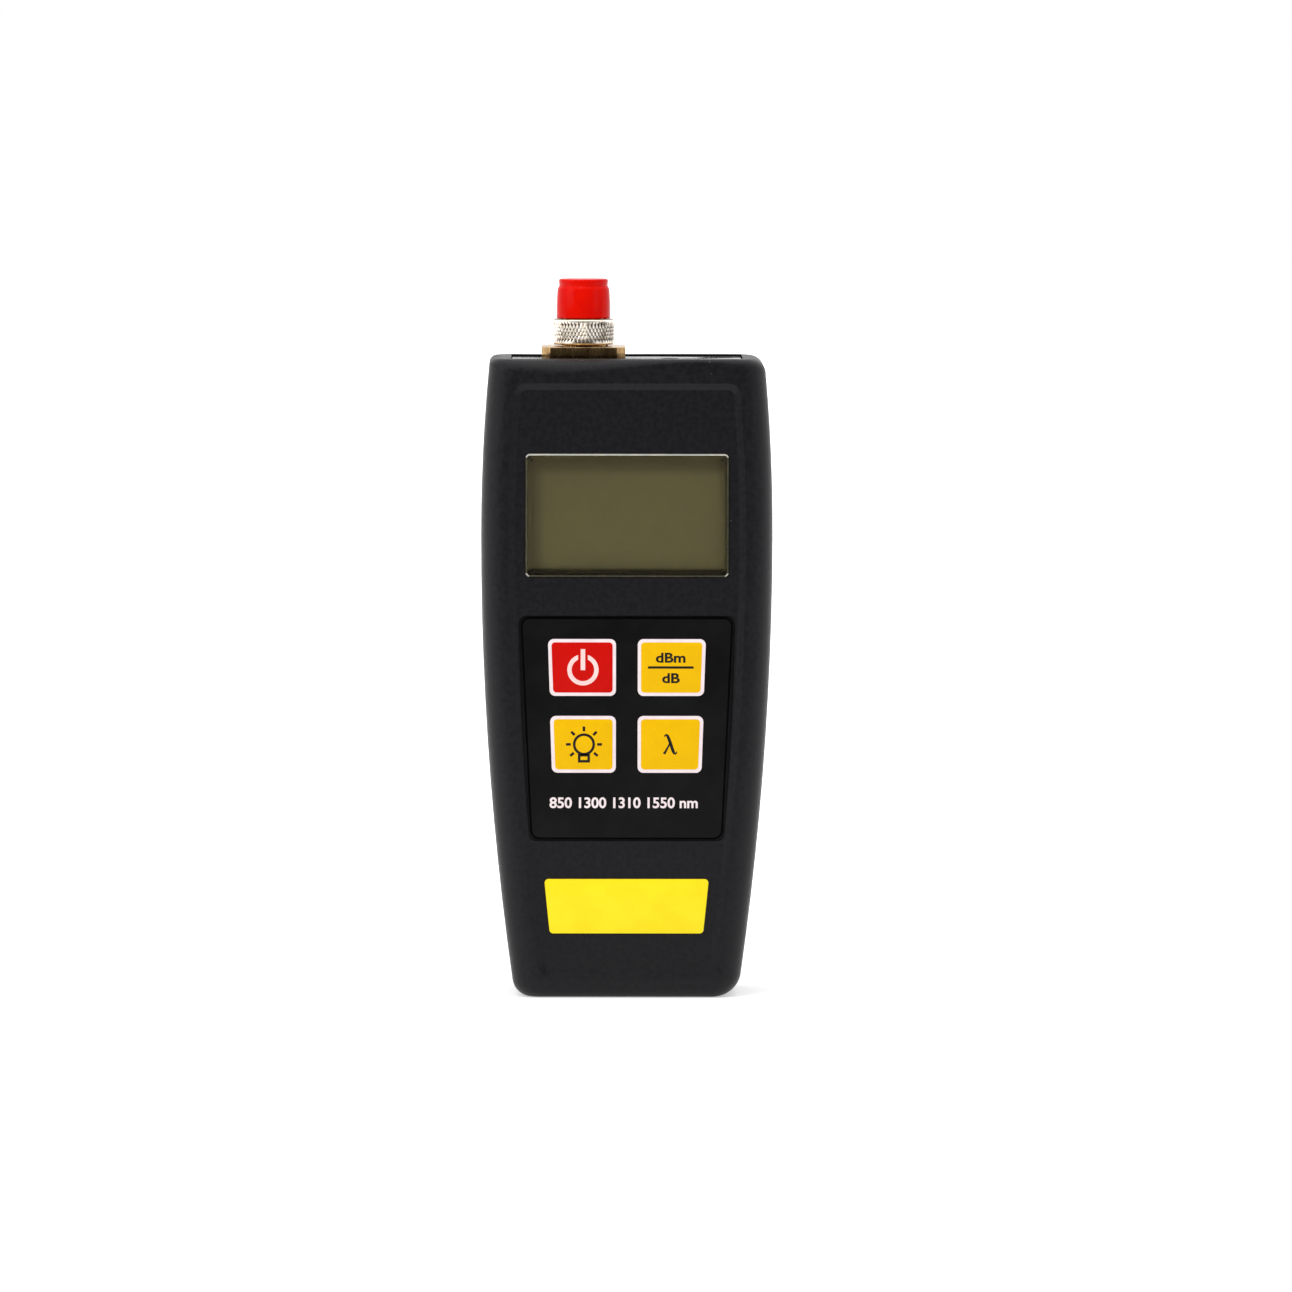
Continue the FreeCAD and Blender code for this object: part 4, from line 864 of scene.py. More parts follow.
    def edge(self, width: float, segments: int = 2) -> "Bench":
        """Break the sharp edges of a closed piece.

        Args:
            width: the bevel's width.
            segments: how many faces it has across.

        Returns:
            The bench.
        """
        apply_modifier(self.piece, "BEVEL", width=width * MM, segments=segments, limit_method="ANGLE",
                       angle_limit=math.radians(SHARP_TURN), miter_outer="MITER_ARC")
        return self

    def lay(self, at: Point) -> "Bench":
        """Lay an upright closed piece down so that its top faces the back.

        Args:
            at: where its origin goes.

        Returns:
            The bench.
        """
        self.piece.rotation_euler = (-math.pi / 2, 0, 0)
        self.piece.location = Vector(at) * MM
        fix_place(self.piece)
        return self

    def deliver(self, body: str, *finishes: Finish, smooth: float = 30) -> Piece:
        """Shade the piece, dress it and let it ride.

        Args:
            body: the body that it rides on.
            finishes: its materials, in slot order.
            smooth: edges that turn by less than this many degrees look smooth.

        Returns:
            The piece.
        """
        select(self.piece)
        bpy.ops.object.shade_smooth_by_angle(angle=math.radians(smooth))
        for finish in finishes:
            self.piece.data.materials.append(finish.make())
        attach(self.piece, body)
        log.info("%s: %d faces, on %s", self.name, len(self.piece.data.polygons), body)
        return self.piece


def rectangle(left: float, foot: float, right: float, top: float, inset: float = 0.0) -> Loop:
    """Corners of an upright rectangle, against the clock from the lower left.

    Args:
        left: its lowest x.
        foot: its lowest z.
        right: its highest x.
        top: its highest z.
        inset: how far the corners lie inside it.

    Returns:
        x and z of the four corners.
    """
    left, foot, right, top = left + inset, foot + inset, right - inset, top - inset
    return [(left, foot), (right, foot), (right, top), (left, top)]


def refine(node: str, width: float, finish: Finish, segments: int = 2) -> Piece:
    """Stand a copy of a CAD node in for it, with its sharp edges broken.

    Args:
        node: the node.
        width: the bevel's width.
        finish: the copy's material.
        segments: how many faces the bevel has across.

    Returns:
        The copy.
    """
    flat = math.radians(0.5)
    bench = Bench(f"{node}_finished")
    copy = place_object(bench.name, frame["nodes"][node].data.copy())
    copy.data.materials.clear()
    edit(copy)
    bpy.ops.mesh.customdata_custom_splitnormals_clear()
    merge(COPY_GAP)
    bpy.ops.mesh.dissolve_limited(angle_limit=flat)
    bpy.ops.object.mode_set(mode="OBJECT")
    piece = bench.edge(width, segments).deliver(frame_body(node), finish)
    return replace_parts(piece, node)


def thread(name: str, axis: Spot, crest: float, pitch: float, low: float, high: float) -> Piece:
    """Wind a sixty-degree ridge round an upright core.

    Args:
        name: the ridge's name.
        axis: x and y of the axis.
        crest: the thread's outer radius.
        pitch: its rise in one turn.
        low: height of its lowest point.
        high: height of its highest point.

    Returns:
        The ridge, a closed piece.
    """
    side_share, steps = 0.92, 48
    side = pitch * side_share
    reach = side / math.sqrt(3)
    turns = (high - low - side) / pitch
    whole = max(1, round(turns))
    bench = Bench(name)
    # A ring of three corners, stood up and turned so that one of them points away from the axis.
    bpy.ops.mesh.primitive_circle_add(
        vertices=3, radius=reach * MM, fill_type="NOTHING", rotation=(math.pi / 2, -math.pi / 6, 0),
        location=Vector((crest - reach, 0, side / 2)) * MM)
    bench.open()
    bpy.ops.object.mode_set(mode="OBJECT")
    ridge = bench.piece
    apply_modifier(ridge, "SCREW", axis="Z", angle=math.tau * turns / whole,
                   screw_offset=pitch * MM * turns / whole, iterations=whole, steps=steps,
                   render_steps=steps, use_merge_vertices=False)
    ridge.location = Vector((*axis, low)) * MM
    fix_place(ridge)
    edit(ridge)
    bpy.ops.mesh.fill_holes(sides=3)
    return bench.close().piece


# ------------------------------------------------------------------ print: flat marks

def arc(radius: float, start: float, end: float, steps: int, middle: Spot = (0.0, 0.0)) -> Loop:
    """Points along an arc.

    Args:
        radius: the arc's radius.
        start: first angle, in degrees.
        end: last angle, in degrees.
        steps: how many parts it has.
        middle: the arc's middle.

    Returns:
        The points.
    """
    turns = [math.radians(start + (end - start) * step / steps) for step in range(steps + 1)]
    return [(middle[0] + radius * math.cos(turn), middle[1] + radius * math.sin(turn)) for turn in turns]


def brush(points: Sequence[Point]) -> Loop:
    """Outline of a stroke whose width changes.

    Args:
        points: x, z and half the width at each point along the stroke.

    Returns:
        The outline.
    """
    left: Loop = []
    right: Loop = []
    for number, (x, z, half) in enumerate(points):
        before, after = points[max(number - 1, 0)], points[min(number + 1, len(points) - 1)]
        along = Vector((after[0] - before[0], after[1] - before[1])).normalized()
        left.append((x - along.y * half, z + along.x * half))
        right.append((x + along.y * half, z - along.x * half))
    return left + right[::-1]


@dataclass
class Print:
    """Flat ink marks on a surface that faces the front."""

    name: str
    at: Spot
    y: float
    body: str
    ink: Finish
    film: float = 0.02
    marks: list[Piece] = field(default_factory=list)

    def settle(self, curve: bpy.types.Curve, shift: Spot = (0.0, 0.0), stretch: float = 1.0) -> "Print":
        """Stand one flat curve upright on the surface and make it a mesh.

        Args:
            curve: the curve.
            shift: how far from the print's middle it stands.
            stretch: how much wider than drawn it is.

        Returns:
            The print.
        """
        curve.extrude = self.film * MM / 2
        mark = place_object(curve.name, curve)
        mark.location = Vector((self.at[0] + shift[0], self.y, self.at[1] + shift[1])) * MM
        mark.rotation_euler = (math.pi / 2, 0, 0)
        mark.scale.x = stretch
        select(mark)
        bpy.ops.object.convert(target="MESH")
        mark = bpy.context.object
        fix_place(mark)
        edit(mark)
        weld(PRINT_GAP)
        bpy.ops.object.mode_set(mode="OBJECT")
        self.marks.append(mark)
        return self

    def shape(self, *loops: Loop) -> "Print":
        """Fill an outline.

        Args:
            loops: the outline; any further loop is a hole in it.

        Returns:
            The print.
        """
        curve = bpy.data.curves.new(f"{self.name}_{len(self.marks)}", "CURVE")
        curve.dimensions = "2D"
        curve.fill_mode = "BOTH"
        for loop in loops:
            spline = curve.splines.new("POLY")
            spline.points.add(len(loop) - 1)
            for point, (x, z) in zip(spline.points, loop):
                point.co = (x * MM, z * MM, 0, 1)
            spline.use_cyclic_u = True
        return self.settle(curve)

    def bar(self, start: Spot, end: Spot, width: float) -> "Print":
        """Draw a straight bar."""
        return self.shape(brush([(*start, width / 2), (*end, width / 2)]))

    def words(self, text: str, size: float, weight: float, stretch: float,
              baseline: Spot = (0.0, 0.0)) -> "Print":
        """Set a line of letters, centred.

        Args:
            text: the letters.
            size: the font's size.
            weight: how much the strokes are thickened, for a size of 1.
            stretch: how much wider than usual the letters are.
            baseline: middle of the line's baseline.

        Returns:
            The print.
        """
        letters = bpy.data.curves.new(f"{self.name}_{len(self.marks)}", "FONT")
        letters.body = text
        letters.size = size * MM
        letters.align_x = "CENTER"
        letters.offset = weight * size * MM
        return self.settle(letters, baseline, stretch)

    def dry(self) -> None:
        """Join the marks into one piece, dress it and let it ride."""
        piece = join(*self.marks)
        piece.name = self.name
        piece.data.materials.append(self.ink.make())
        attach(piece, self.body)
        log.info("%s: %d faces, on %s", self.name, len(piece.data.polygons), self.body)


# ------------------------------------------------------------------ sub-assemblies

class Symbol(Enum):
    """What is printed on a key."""

    POWER = "power"
    UNIT = "unit"
    BACKLIGHT = "backlight"
    WAVELENGTH = "wavelength"


@dataclass
class Keypad:
    """Four embossed keys with white borders, coloured fields and marks, and the film's line of print."""

    border: float = 0.6
    lean: float = 0.33
    field_radius: float = 0.62
    field_rise: float = 0.03
    emboss_inset: float = 0.4
    emboss_step: float = 0.16
    emboss_rise: float = 0.05
    mark_lift: float = 0.005
    stroke: float = 0.46
    power_radius: float = 2.8
    power_stroke: float = 0.78
    power_gap: float = 0.87
    power_sink: float = 0.42
    # The bar's ends above the ring's middle, and its width as a share of the ring's.
    power_bar: Point = (-0.05, 3.72, 1.04)
    unit_size: float = 2.42
    unit_weight: float = 0.028
    unit_stretch: float = 1.22
    unit_lines: Spot = (0.95, -2.72)
    # Half the bar's length, its height and its width.
    unit_bar: Point = (4.08, 0.02, 0.42)
    bulb_radius: float = 1.98
    # Half the socket's width, and the heights of its foot and its top.
    bulb_socket: Point = (1.08, -3.26, -1.72)
    ray_reach: Spot = (2.36, 3.22)
    ray_turns: Sequence[float] = (90, 45, 135, 0, 180, -40, -140)
    gap_shadow_width: float = 0.34
    gap_shadow_radius: float = 1.6
    gap_shadow_inset: float = 0.05
    rim_lift: float = 0.01
    line_at: Spot = (-0.5, 34.3)
    line_size: float = 2.62
    line_weight: float = 0.025
    line_stretch: float = 1.03

    def build(self) -> None:
        """Dress the film, build the four keys, paint the gap's shadow along the film's edge and print the
        film's line.
        """
        OVERLAY_FILM.dress("keypad_overlay")
        for symbol in Symbol:
            self.build_key(symbol)
        low, high = millimetres("keypad_overlay")
        front = low.y - self.rim_lift
        self.build_gap_shadow(low, high, front)
        line = Print("wavelength_line", self.line_at, front, "root", WHITE_INK)
        line.words("850 1300 1310 1550 nm", self.line_size, self.line_weight, self.line_stretch).dry()

    def build_gap_shadow(self, low: Vector, high: Vector, front: float) -> None:
        """Paint the gap's shadow as a black rim along the film's edge, which is narrower at the foot.

        Args:
            low: the film's lowest corner.
            high: its highest corner.
            front: the rim's depth.
        """
        foot_end = (low.z + 2 * self.gap_shadow_radius) * MM
        outline = frame["nodes"]["keypad_overlay"].data.vertices
        foot = max(vert.co.x for vert in outline if vert.co.z < foot_end) / MM - self.gap_shadow_inset
        corners = [(-foot, low.z), (foot, low.z), (high.x, high.z), (low.x, high.z)]
        # A black rim that stands for the shadow in the gap round the film: painted shadow.
        rim = Bench("overlay_rim").sheet(corners, front).round_corners(self.gap_shadow_radius)
        rim.frame_out(self.gap_shadow_width, 2 * self.rim_lift).deliver("root", GAP_SHADOW_INK)

    def build_key(self, symbol: Symbol) -> None:
        """Lay the coloured field and the marks on one key.

        Args:
            symbol: the key's mark, which also names the key.
        """
        key = f"{symbol.value}_key"
        body = frame_body(key)
        field_ink, mark_ink = (RED_INK, PINK_INK) if symbol is Symbol.POWER else (AMBER_INK, BLACK_INK)
        WHITE_INK.dress(key)
        low, high = millimetres(key)
        left, right = low.x + self.border, high.x - self.border
        foot, top = low.z + self.border, high.z - self.border
        # A field is narrower at its foot on the pad's outer side, as the film is.
        foot_left, foot_right = (left + self.lean, right) if high.x < 0 else (left, right - self.lean)
        corners = [(foot_left, foot), (foot_right, foot), (right, top), (left, top)]
        front = low.y - self.field_rise
        bench = Bench(f"{key}_field").sheet(corners, front).round_corners(self.field_radius)
        bench.inset(self.emboss_inset).inset(self.emboss_step, self.emboss_rise)
        bench.thicken(self.field_rise * 2).close().deliver(body, field_ink, smooth=40)
        middle = (foot_left + foot_right) / 2, (foot + top) / 2
        mark = Print(f"{key}_mark", middle, front - self.emboss_rise - self.mark_lift, body, mark_ink)
        draw = {Symbol.POWER: self.power, Symbol.UNIT: self.unit, Symbol.BACKLIGHT: self.backlight,
                Symbol.WAVELENGTH: self.wavelength}[symbol]
        draw(mark)
        mark.dry()

    def power(self, mark: Print) -> None:
        """Draw a broken ring with an upright bar in its gap.

        Args:
            mark: the print that takes it.
        """
        steps, middle = 72, (0.0, -self.power_sink)
        outer, inner = self.power_radius, self.power_radius - self.power_stroke
        outer_turn, inner_turn = (math.degrees(math.asin(self.power_gap / far)) for far in (outer, inner))
        ring = arc(outer, 90 + outer_turn, 450 - outer_turn, steps, middle)
        ring += arc(inner, 450 - inner_turn, 90 + inner_turn, steps, middle)
        start, end, share = self.power_bar
        mark.shape(ring)
        mark.bar((0, start - self.power_sink), (0, end - self.power_sink), self.power_stroke * share)

    def unit(self, mark: Print) -> None:
        """Draw the two units of level, one over the other, with a bar between them.

        Args:
            mark: the print that takes them.
        """
        reach, height, width = self.unit_bar
        upper, lower = self.unit_lines
        mark.words("dBm", self.unit_size, self.unit_weight, self.unit_stretch, (0.0, upper))
        mark.bar((-reach, height), (reach, height), width)
        mark.words("dB", self.unit_size, self.unit_weight, self.unit_stretch, (0.0, lower))

    def backlight(self, mark: Print) -> None:
        """Draw a lamp with its socket and seven rays.

        Args:
            mark: the print that takes it.
        """
        almost_round, steps = 354, 59
        mark.shape(*(arc(radius, 0, almost_round, steps)
                     for radius in (self.bulb_radius, self.bulb_radius - self.stroke)))
        half, foot, top = self.bulb_socket
        mark.shape(*(rectangle(-half, foot, half, top, inset) for inset in (0, self.stroke)))
        for degrees in self.ray_turns:
            turn = math.radians(degrees)
            near, far = ((reach * math.cos(turn), reach * math.sin(turn)) for reach in self.ray_reach)
            mark.bar(near, far, self.stroke)

    def wavelength(self, mark: Print) -> None:
        """Draw the Greek letter for wavelength with a brush: its long stroke, and its leg.

        Args:
            mark: the print that takes it.
        """
        mark.shape(brush([
            (-0.94, 1.34, 0.06), (-0.82, 1.64, 0.14), (-0.56, 1.72, 0.20), (-0.34, 1.52, 0.25),
            (-0.14, 1.04, 0.27), (0.12, 0.36, 0.28), (0.40, -0.50, 0.28), (0.62, -1.16, 0.27),
            (0.80, -1.54, 0.24), (1.02, -1.68, 0.18), (1.22, -1.54, 0.12), (1.34, -1.24, 0.06)]))
        mark.shape(brush([
            (0.10, 0.34, 0.12), (-0.16, -0.24, 0.15), (-0.58, -1.02, 0.18), (-0.98, -1.72, 0.24)]))


@dataclass
class DisplayWindow:
    """The acrylic lens with its routed edge, a thin sheet behind it in the display's colour with its
    painted shade, and the liquid crystal cell.
    """

    corner_radius: float = 0.8
    corner_parts: int = 8
    chamfer: float = 0.3
    thickness: float = 1.1
    ledge: float = 1.06
    border_gap: float = 0.04
    border_film: float = 0.03

    def build(self) -> None:
        """Build the lens and its border, and dress the display stack."""
        low, high = millimetres("display_window")
        self.build_lens(low, high)
        self.build_border(low, high)
        LCD_GLASS.dress("lcd_glass")
        WHITE_MOULDING.dress("lcd_holder", "backlight_panel")
        RUBBER.dress("zebra_strip")

    def build_lens(self, low: Vector, high: Vector) -> None:
        """Rout the lens's edge, paint it dark, and paint a highlight on it at its top and its corners.

        Args:
            low: the window's lowest corner.
            high: its highest corner.
        """
        edge_slot, highlight_slot = 1, 2
        steep, slight = 0.5, 0.1

        def is_edge(face: bmesh.types.BMFace) -> bool:
            """Say whether a face lies round the lens's edge."""
            return len(face.verts) == 4

        def takes_painted_highlight(face: bmesh.types.BMFace) -> bool:
            """Say whether a face of the chamfer looks up, or lies at a corner, and so takes the painted
            highlight.
            """
            at_corner = abs(face.normal.x) > slight and abs(face.normal.z) > slight
            return is_edge(face) and face.normal.y < -slight and (face.normal.z > steep or at_corner)

        outline = rectangle(low.x, low.z, high.x, high.z)
        bench = Bench("window_lens").sheet(outline, low.y)
        bench.round_corners(self.corner_radius, self.corner_parts).inset(self.chamfer)
        bench.pick(Part.VERTS, lambda vert: vert.is_boundary)
        bpy.ops.transform.translate(value=(0, self.chamfer * MM, 0))
        bench.thicken(self.thickness - self.chamfer)
        # The edge takes a painted dark colour, and its top and corners a painted highlight.
        bench.pick(Part.FACES, is_edge).paint(edge_slot)
        bench.pick(Part.FACES, takes_painted_highlight).paint(highlight_slot)
        lens = bench.close().deliver("root", LENS_ACRYLIC, LENS_EDGE, LENS_PAINTED_HIGHLIGHT, smooth=20)
        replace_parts(lens, "display_window")

    def build_border(self, low: Vector, high: Vector) -> None:
        """Lay a thin sheet, in the display's colour with its painted shade, between the lens and the ledge
        that carries it.

        Args:
            low: the window's lowest corner.
            high: its highest corner.
        """
        gap = self.border_gap
        outline = rectangle(low.x, low.z, high.x, high.z, gap)
        bench = Bench("window_border").sheet(outline, low.y + self.thickness + gap)
        bench.round_corners(self.corner_radius - gap, self.corner_parts)
        # The sheet covers the ledge with the display's painted shade.
        bench.frame_out(self.ledge - gap, self.border_film).deliver("root", LCD_GLASS)


@dataclass
class FibrePort:
    """The brass receptacle, the screw-on adapter with its knurled nut, and the dust cap."""

    flange_cut: float = 1.5
    flange_height: float = 2.2
    flange_edge: float = 0.12
    boss_radius: float = 4.5
    boss_edge: float = 0.1
    # How far under the flange's foot the spigot ends and the boss's core starts.
    boss_root: Spot = (0.2, 0.1)
    # How far under the flange's top and the boss's top the thread has its ends.
    boss_thread: Spot = (0.3, 0.1)
    spigot_radius: float = 4.4
    spigot_lead: float = 0.4
    light_bore: float = 1.5
    pitch: float = 0.75
    thread_depth: float = 0.46
    barrel_radius: float = 4.0
    barrel_wall: float = 0.86
    barrel_flange: float = 0.8
    barrel_edge: float = 0.08
    # How far under the rim the thread has its ends.
    barrel_thread: Spot = (5.9, 0.15)
    well_depth: float = 4.9
    sleeve_radius: float = 2.1
    ferrule_radius: float = 1.26
    sleeve_drop: float = 0.9
    # The keyway's width, its depth under the rim, and what it leaves round the sleeve.
    keyway: Point = (2.1, 2.6, 0.3)
    nut_clearance: float = 0.07
    nut_chamfer: float = 0.24
    knurl_ends: Spot = (0.36, 0.3)
    knurl_land: float = 0.04
    pits: int = 51
    pit_rows: int = 6
    pit_depth: float = 0.17
    cap_bore: float = 4.05
    cap_roof: float = 1.0
    cap_slack: float = 0.002
    # Radius, and height over the cap's foot or depth under its top.
    cap_skirt: Sequence[Spot] = ((4.74, 0.0), (4.86, 0.1), (4.875, 0.3), (4.82, 2.4), (4.74, 4.3))
    cap_neck: Sequence[Spot] = ((4.67, 2.0), (4.61, 1.72), (4.52, 1.52), (4.43, 1.38), (4.37, 1.26),
                                (4.37, 1.12), (4.41, 1.04), (4.415, 0.9), (4.40, 0.84))
    cap_end: Sequence[Spot] = ((4.42, 0.76), (4.45, 0.55), (4.44, 0.32), (4.37, 0.14), (4.24, 0.04),
                               (4.06, 0.0))

    def build(self) -> None:
        """Build the four visible pieces and dress what is behind the panel."""
        self.build_receptacle()
        self.build_barrel()
        self.build_nut()
        self.build_cap()
        NICKEL.dress("photodiode")
        NICKEL_SHEET.dress("lock_washer")
        BRASS.dress("panel_nut")

    def build_receptacle(self) -> None:
        """Mill the flange, and turn the boss and the spigot with their threads."""
        low, high = millimetres("detector_receptacle")
        foot = millimetres("end_panel")[1].z
        flange_top = foot + self.flange_height
        flange = Bench("receptacle_flange").block((low.x, low.y, foot), (high.x, high.y, flange_top))
        flange.pick(Part.EDGES, lambda line: abs(line.verts[0].co.z - line.verts[1].co.z) > MM)
        bpy.ops.mesh.bevel(offset=self.flange_cut * MM, segments=1, affect="EDGES")
        flange.close().edge(self.flange_edge)
        core, spigot, lead = self.boss_radius - self.thread_depth, self.spigot_radius, self.spigot_lead
        spigot_end, core_start = (foot - depth for depth in self.boss_root)
        boss = Bench("receptacle_boss").turn(PORT_AXIS, [
            (self.light_bore, low.z), (spigot - lead, low.z), (spigot, low.z + lead), (spigot, spigot_end),
            (core, core_start), (core, high.z), (self.light_bore, high.z)],
            capped=False).close().edge(self.boss_edge)
        start, end = flange_top - self.boss_thread[0], high.z - self.boss_thread[1]
        ridge = thread("receptacle_thread", PORT_AXIS, self.boss_radius, self.pitch, start, end)
        join(flange.piece, boss.piece, ridge)
        piece = flange.deliver(frame_body("detector_receptacle"), BRASS, smooth=25)
        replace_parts(piece, "detector_receptacle")

    def build_barrel(self) -> None:
        """Turn the threaded barrel with its flange, well and sleeve, and cut its keyway."""
        low, high = millimetres("adapter_barrel")
        outer, rim, shelf = self.barrel_radius, high.z, low.z + self.barrel_flange
        core, inner = outer - self.thread_depth, outer - self.barrel_wall
        well, sleeve_end = rim - self.well_depth, rim - self.sleeve_drop
        bench = Bench("adapter_body").turn(PORT_AXIS, [
            (self.ferrule_radius, low.z), (self.boss_radius, low.z), (self.boss_radius, shelf),
            (core, shelf), (core, rim), (inner, rim), (inner, well), (self.sleeve_radius, well),
            (self.sleeve_radius, sleeve_end), (self.ferrule_radius, sleeve_end)],
            capped=False).close().edge(self.barrel_edge)
        start, end = (rim - depth for depth in self.barrel_thread)
        ridge = thread("adapter_thread", PORT_AXIS, outer, self.pitch, start, end)
        middle = PORT_AXIS[0]
        width, depth, web = self.keyway
        beyond = 1.0
        for target in (ridge, bench.piece):
            tool = Bench("keyway_tool").block((middle - width / 2, -outer - beyond, rim - depth),
                                              (middle + width / 2, -self.sleeve_radius - web, rim + beyond))
            cut_away(target, tool.close().piece)
        join(bench.piece, ridge)
        piece = bench.deliver(frame_body("adapter_barrel"), NICKEL, smooth=25)
        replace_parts(piece, "adapter_barrel")

    def build_nut(self) -> None:
        """Turn the coupling nut and roll the diamond knurl into it."""
        low, high = millimetres("coupling_nut")
        radius = (high.x - low.x) / 2
        chamfer, land, gap = self.nut_chamfer, self.knurl_land, self.nut_clearance
        bore, throat = self.boss_radius + gap, self.barrel_radius + gap
        shoulder = millimetres("adapter_barrel")[0].z + self.barrel_flange + gap
        first, last = low.z + self.knurl_ends[0], high.z - self.knurl_ends[1]
        step = (last - first) / self.pit_rows
        rings = [(radius, first + step * row) for row in range(self.pit_rows + 1)]
        bench = Bench("knurled_nut").turn(PORT_AXIS, [
            (bore, low.z), (radius - chamfer, low.z), (radius, first - land), *rings, (radius, last + land),
            (radius - chamfer, high.z), (throat, high.z), (throat, shoulder), (bore, shoulder)],
            capped=False, sides=self.pits * 2)
        axis = Vector((*PORT_AXIS, 0)) * MM
        # The angle between corners, and how near a ring one lies, in millimetres and in rows.
        share, near = math.pi / self.pits, 0.02

        def is_pit(vert: bmesh.types.BMVert) -> bool:
            """Say whether a corner is the bottom of a pit.

            Args:
                vert: the corner.

            Returns:
                Whether it is one of every other corner of an inner ring, shifted by one on the next.
            """
            out = vert.co - axis
            row = (vert.co.z / MM - first) / step
            on_wall = math.hypot(out.x, out.y) > (radius - near) * MM
            if not on_wall or abs(row - round(row)) > near or not 0 < round(row) < self.pit_rows:
                return False
            return (math.floor(math.atan2(out.y, out.x) / share) + round(row)) % 2 == 1

        def is_wall(face: bmesh.types.BMFace) -> bool:
            """Say whether a face belongs to the knurled wall.

            Args:
                face: the face.

            Returns:
                Whether it is near the outside and clear of both ends.
            """
            middle = face.calc_center_median()
            ends, skin = 0.2, 0.5
            return ((low.z + ends) * MM < middle.z < (high.z - ends) * MM
                    and (middle - axis).xy.length > (radius - skin) * MM)

        bench.pick(Part.VERTS, is_pit)
        sink = 1 - self.pit_depth / radius
        bpy.ops.transform.resize(value=(sink, sink, 1), center_override=axis)
        bench.pick(Part.FACES, is_wall)
        bpy.ops.mesh.quads_convert_to_tris(quad_method="LONGEST_DIAGONAL")
        piece = bench.close().deliver(frame_body("coupling_nut"), KNURLED_NICKEL, smooth=18)
        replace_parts(piece, "coupling_nut")

    def build_cap(self) -> None:
        """Mould the dust cap: a slightly tapered cup with a neck under its rounded end."""
        low, high = millimetres("dust_cap")
        top = high.z - self.cap_slack
        skirt = [(radius, low.z + rise) for radius, rise in self.cap_skirt]
        end = [(radius, top - depth) for radius, depth in (*self.cap_neck, *self.cap_end)]
        bench = Bench("cap_moulding").turn(PORT_AXIS, [
            (self.cap_bore, top - self.cap_roof), (self.cap_bore, low.z), *skirt, *end], sides=128)
        piece = bench.close().deliver(frame_body("dust_cap"), CAP_PLASTIC, smooth=50)
        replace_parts(piece, "dust_cap")


@dataclass
class Fasteners:
    """The four case screws in their wells, and the board screws."""

    head_radius: float = 2.0
    head_height: float = 1.7
    shank_radius: float = 1.1
    shank_core: float = 0.8
    point: Spot = (0.15, 1.6)
    recess: Point = (0.44, 1.24, 1.1)
    recess_taper: float = 0.55
    thread_pitch: float = 0.9
    thread_ends: Spot = (1.4, 0.4)
    # The rounded head: radius and depth under its top, as shares of the head's radius and height.
    head_curve: Sequence[Spot] = ((1.0, 0.52), (0.94, 0.3), (0.78, 0.1))
    # Its last two rings, as shares of the radius, and how far the first of them lies under the top.
    head_crown: Point = (0.5, 0.3, 0.02)

    def build(self) -> None:
        """Make one case screw and copy it to the other wells."""
        ZINC_STEEL.dress("board_screws")
        low, high = millimetres("case_screws")
        first = self.make_screw(high.y - low.y)
        x = high.x - self.head_radius
        heights = (low.z + self.head_radius, high.z - self.head_radius)
        places = [(side * x, high.y, z) for z in heights for side in (-1, 1)]
        for number, place in enumerate(places, start=1):
            screw = place_object(f"case_screw_{number}", first.data.copy())
            bench = Bench(screw.name).lay(place)
            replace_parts(bench.deliver("root", ZINC_STEEL), "case_screws")
        bpy.data.objects.remove(first)

    def make_screw(self, reach: float) -> Piece:
        """Turn one upright screw, its top at the origin, and cut its cross recess.

        Args:
            reach: the screw's whole length.

        Returns:
            The screw.
        """
        head, shank, height = self.head_radius, self.shank_radius, self.head_height
        core, edge, above = shank * self.shank_core, 0.1, 0.5
        tip, tip_length = self.point
        first_share, last_share, fall = self.head_crown
        bench = Bench("screw_blank").turn((0, 0), [
            (tip, -reach), (core, -reach + tip_length), (core, -height), (head - edge, -height),
            (head, -height + edge), *((head * wide, -height * deep) for wide, deep in self.head_curve),
            (head * first_share, -fall), (head * last_share, 0)], sides=48).close()
        width, length, depth = self.recess
        for half_x, half_y in ((length, width / 2), (width / 2, length)):
            tool = Bench("recess_tool").block((-half_x, -half_y, -depth), (half_x, half_y, above))
            tool.pick(Part.FACES, lambda face: face.normal.z < -0.5)
            bpy.ops.transform.resize(value=(self.recess_taper, self.recess_taper, 1),
                                     center_override=(0, 0, 0))
            cut_away(bench.piece, tool.close().piece)
        ridge = thread("screw_thread", (0, 0), shank, self.thread_pitch, -reach + self.thread_ends[0],
                       -height - self.thread_ends[1])
        return join(bench.piece, ridge)


